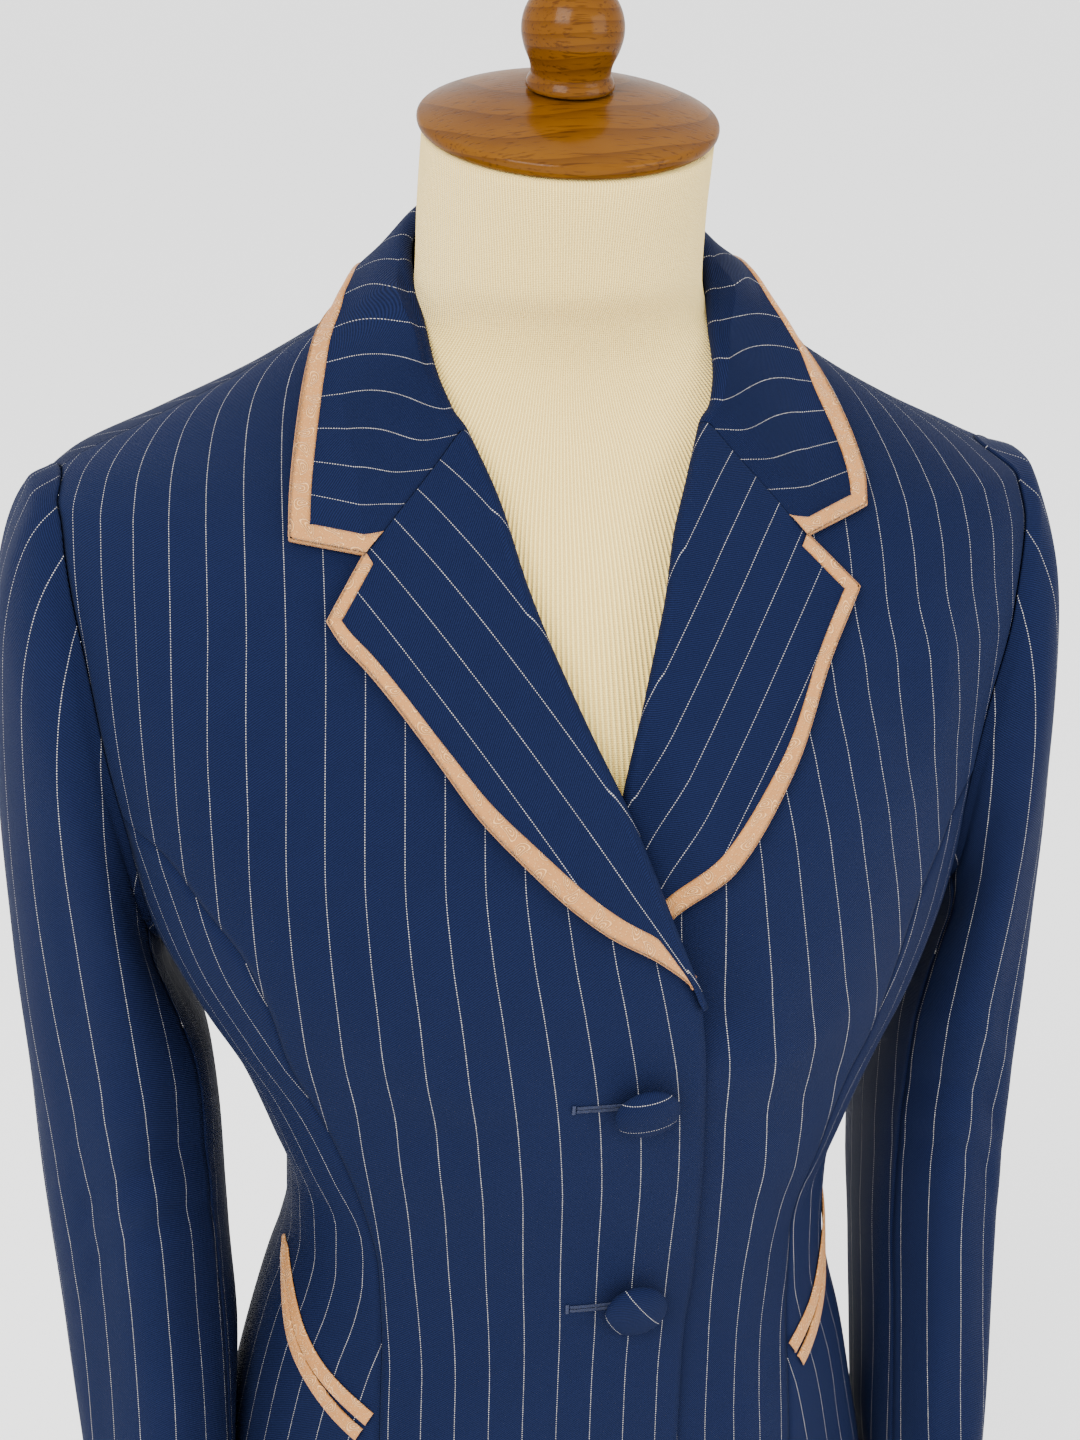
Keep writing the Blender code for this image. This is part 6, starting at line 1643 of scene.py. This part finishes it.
BUTTON_RADIUS, BUTTON_HEIGHT, SHANK_RADIUS, BUTTON_SAG = 0.0130, 0.0078, 0.0045, 0.19
BUTTON_EDGE = 0.0030        # height of the dome's widest round over the cloth
# x, level, turn of the stripe in degrees and its distance from the button's middle
BUTTONS = {"button_upper": (0.0132, 0.1100, 12.0, 0.0052), "button_lower": (0.0152, 0.0087, -48.0, -0.0035)}
SEAT_HEIGHT = 0.0008


def button_seat(name):
    x, level = BUTTONS[name][:2]
    turn = turn_at_x(x, level)
    normal = body_normal(turn, level)
    return laid_on(panels["right_front"], [place(BODY, turn, level)], [normal], [SEAT_HEIGHT])[0], normal


def make_button(name):
    """A dome with its cloth gathered under it, hanging forwards a little from its shank."""
    seat, normal = button_seat(name)
    arc, rise = np.radians(np.arange(0, 91, 5)), BUTTON_HEIGHT - BUTTON_EDGE
    dome = [(BUTTON_RADIUS * math.sin(angle), BUTTON_EDGE + rise * math.cos(angle)) for angle in arc]
    under = [
        (BUTTON_RADIUS * 0.985, 0.0022), (BUTTON_RADIUS * 0.94, 0.0018), (0.0075, 0.0016),
        (SHANK_RADIUS, 0.0014), (SHANK_RADIUS, 0.0002), (0.0, 0.0),
    ]
    profile = np.array((dome + under)[::-1])
    local, turns = turned(profile, 72)
    gather = ease((0.0036 - local[..., 2]) / 0.0014) * (local[..., 2] > 0.0015)
    local[..., :2] *= (1.0 + 0.012 * gather * np.sin(turns * 23.0))[..., None]
    hanging = mathutils.Vector(unit(normal - np.array((0.0, 0.0, BUTTON_SAG))))
    to_front = np.array(mathutils.Vector((0.0, 0.0, 1.0)).rotation_difference(hanging).to_matrix())
    points = local @ to_front.T + seat + normal * 0.6 * BUTTON_SAG * BUTTON_RADIUS
    spin, shift = math.radians(BUTTONS[name][2]), BUTTONS[name][3]
    stretch = run_length(profile[::-1])[::-1]
    flat_x, flat_y = stretch[:, None] * np.sin(turns), -stretch[:, None] * np.cos(turns)
    across = flat_y * math.cos(spin) - flat_x * math.sin(spin) + shift
    flat = np.stack([across, flat_x * math.cos(spin) + flat_y * math.sin(spin)], axis=-1)
    faces = grid_faces(*points.shape[:2])
    add_piece(f"covered_{name}", points, faces, flat, PINSTRIPE, [name], closed=True)


THREAD_DARK, THREAD_LIGHT = (0.0030, 0.0065, 0.0260), (0.0095, 0.0170, 0.0560)
THREAD_RADIUS, WINDING_PITCH, WINDING_REACH, STEPS_A_WINDING = 0.00019, 0.00042, 0.00062, 10
# from the slit's middle to its lips, and to each end of the bar in two steps: the lips' own and beyond them
LIP, BAR_STEPS, BAR_PAST_SLIT, SLIT_START = 0.00085, (0.0011, 0.0010), 0.0012, 0.002


def buttonhole_thread():
    material, tree, shader = new_material("buttonhole_thread", roughness=0.5, specular=0.4)
    shade = placed_group(tree, UNEVEN, {"Size": 0.0012, "Depth": 1.6})["Shade"]
    tree.links.new(blended(tree, shade, THREAD_DARK, THREAD_LIGHT), shader.inputs["Base Color"])
    add_relief(tree, shader, noise(tree, object_place(tree), 3000.0, 2.0)[0], 0.00008)
    return material


THREAD = buttonhole_thread()


def make_buttonhole(name, reach):
    """Thread wound along both lips of the slit and across its outer end."""
    seat, normal = button_seat(name)
    sideways = unit(np.cross(normal, np.array((0.0, 0.0, 1.0))))
    sideways *= np.sign(sideways[0])
    upwards = unit(np.cross(sideways, normal))
    upwards *= np.sign(upwards[2])
    around = np.linspace(0.0, 2.0 * math.pi, 6)[:-1]
    points, faces, flat = [], [], []
    for start, end in (
        ((SLIT_START, LIP), (-reach, LIP)), ((SLIT_START, -LIP), (-reach, -LIP)),
        ((-reach - BAR_PAST_SLIT, sum(BAR_STEPS)), (-reach - BAR_PAST_SLIT, -sum(BAR_STEPS))),
    ):
        count = int(np.linalg.norm(np.subtract(start, end)) / WINDING_PITCH)
        path = straight(start, end, count * STEPS_A_WINDING)
        direction = unit(path[-1] - path[0])
        beside = np.array((-direction[1], direction[0]))
        winding = np.arange(len(path)) / STEPS_A_WINDING * 2.0 * math.pi
        wobble = 1.0 + 0.10 * np.sin(np.arange(len(path)) * 0.37)
        plane = path + beside * (np.cos(winding) * WINDING_REACH * wobble)[:, None]
        height = 0.00038 + 0.00030 * np.sin(winding)
        over_cloth = seat - normal * SEAT_HEIGHT + sideways * plane[:, :1] + upwards * plane[:, 1:]
        normals = np.repeat(normal[None], len(plane), axis=0)
        laid = laid_on(panels["right_front"], over_cloth, normals, height)
        run = unit(np.gradient(laid, axis=0))
        first = unit(np.cross(run, normal))
        second = np.cross(run, first)
        section = (
            first[:, None] * np.cos(around)[None, :, None] + second[:, None] * np.sin(around)[None, :, None]
        )
        base = sum(len(ring) for ring in points)
        points.append((laid[:, None] + THREAD_RADIUS * section).reshape(-1, 3))
        along = np.arange(len(plane))[:, None] * 0.0001
        flat.append(np.stack(np.broadcast_arrays(along, around * 0.0002), axis=-1).reshape(-1, 2))
        for ring in range(len(plane) - 1):
            for index in range(5):
                corner, after = base + ring * 5 + index, base + ring * 5 + (index + 1) % 5
                faces.append((corner, after, after + 5, corner + 5))
    points, flat = np.concatenate(points), np.concatenate(flat)
    add_piece(f"buttonhole_{name.split('_')[1]}", points, faces, flat, THREAD)


for button_name, slit_reach in (("button_upper", 0.0268), ("button_lower", 0.0262)):
    make_button(button_name)
    make_buttonhole(button_name, slit_reach)

# ---------------------------------------------------------------- floor, light and camera
# A plain pale floor, soft light from two large panels and the sky,
# and the camera at the photograph's viewing angle.


def make_floor():
    material, tree, shader = new_material("pale_floor", 0.9, 0.2)
    shade = placed_group(tree, UNEVEN, {"Size": 0.8, "Depth": 0.3})["Shade"]
    tree.links.new(blended(tree, shade, (0.90, 0.90, 0.90), (0.86, 0.86, 0.86)), shader.inputs["Base Color"])
    mesh = bpy.data.meshes.new("floor")
    corners = [(-20.0, -6.0, 0.0), (20.0, -6.0, 0.0), (20.0, 40.0, 0.0), (-20.0, 40.0, 0.0)]
    mesh.from_pydata(corners, [], [(0, 1, 2, 3)])
    mesh.materials.append(material)
    floor = bpy.data.objects.new("floor", mesh)
    bpy.context.scene.collection.objects.link(floor)


def add_panel(name, place_at, aim, size, power, colour):
    light = bpy.data.lights.new(name, "AREA")
    light.shape, light.size, light.size_y = "RECTANGLE", size[0], size[1]
    light.energy, light.color = power, colour
    made = bpy.data.objects.new(name, light)
    made.location = place_at
    ahead = mathutils.Vector(aim) - mathutils.Vector(place_at)
    made.rotation_euler = ahead.to_track_quat("-Z", "Y").to_euler()
    bpy.context.scene.collection.objects.link(made)


def add_camera():
    yaw, pitch, roll = math.radians(10.5), math.radians(21.2), math.radians(1.0)
    ahead = np.array((math.sin(yaw) * math.cos(pitch), math.cos(yaw) * math.cos(pitch), -math.sin(pitch)))
    level_right = np.array((math.cos(yaw), -math.sin(yaw), 0.0))
    level_up = np.cross(level_right, ahead)
    right = level_right * math.cos(roll) + level_up * math.sin(roll)
    up = -level_right * math.sin(roll) + level_up * math.cos(roll)
    lens = bpy.data.cameras.new("camera")
    lens.lens, lens.sensor_width, lens.sensor_fit = 65.0, 36.0, "AUTO"
    camera = bpy.data.objects.new("camera", lens)
    matrix = mathutils.Matrix(np.stack([right, up, -ahead], axis=1).tolist()).to_4x4()
    matrix.translation = mathutils.Vector((-0.190, -0.988, 1.111))
    camera.matrix_world = matrix
    bpy.context.scene.collection.objects.link(camera)
    bpy.context.scene.camera = camera


make_floor()
add_panel("key", (-1.6, -2.2, 2.6), (0.0, 0.0, 0.75), (1.8, 1.8), 175.0, (1.0, 0.985, 0.96))
add_panel("fill", (2.0, -1.6, 1.4), (0.0, 0.0, 0.70), (1.6, 1.6), 50.0, (0.96, 0.98, 1.0))
world = bpy.data.worlds.new("studio")
world.use_nodes = True
world.node_tree.nodes["Background"].inputs["Color"].default_value = (1.0, 1.0, 1.0, 1.0)
world.node_tree.nodes["Background"].inputs["Strength"].default_value = 2.35
bpy.context.scene.world = world
add_camera()
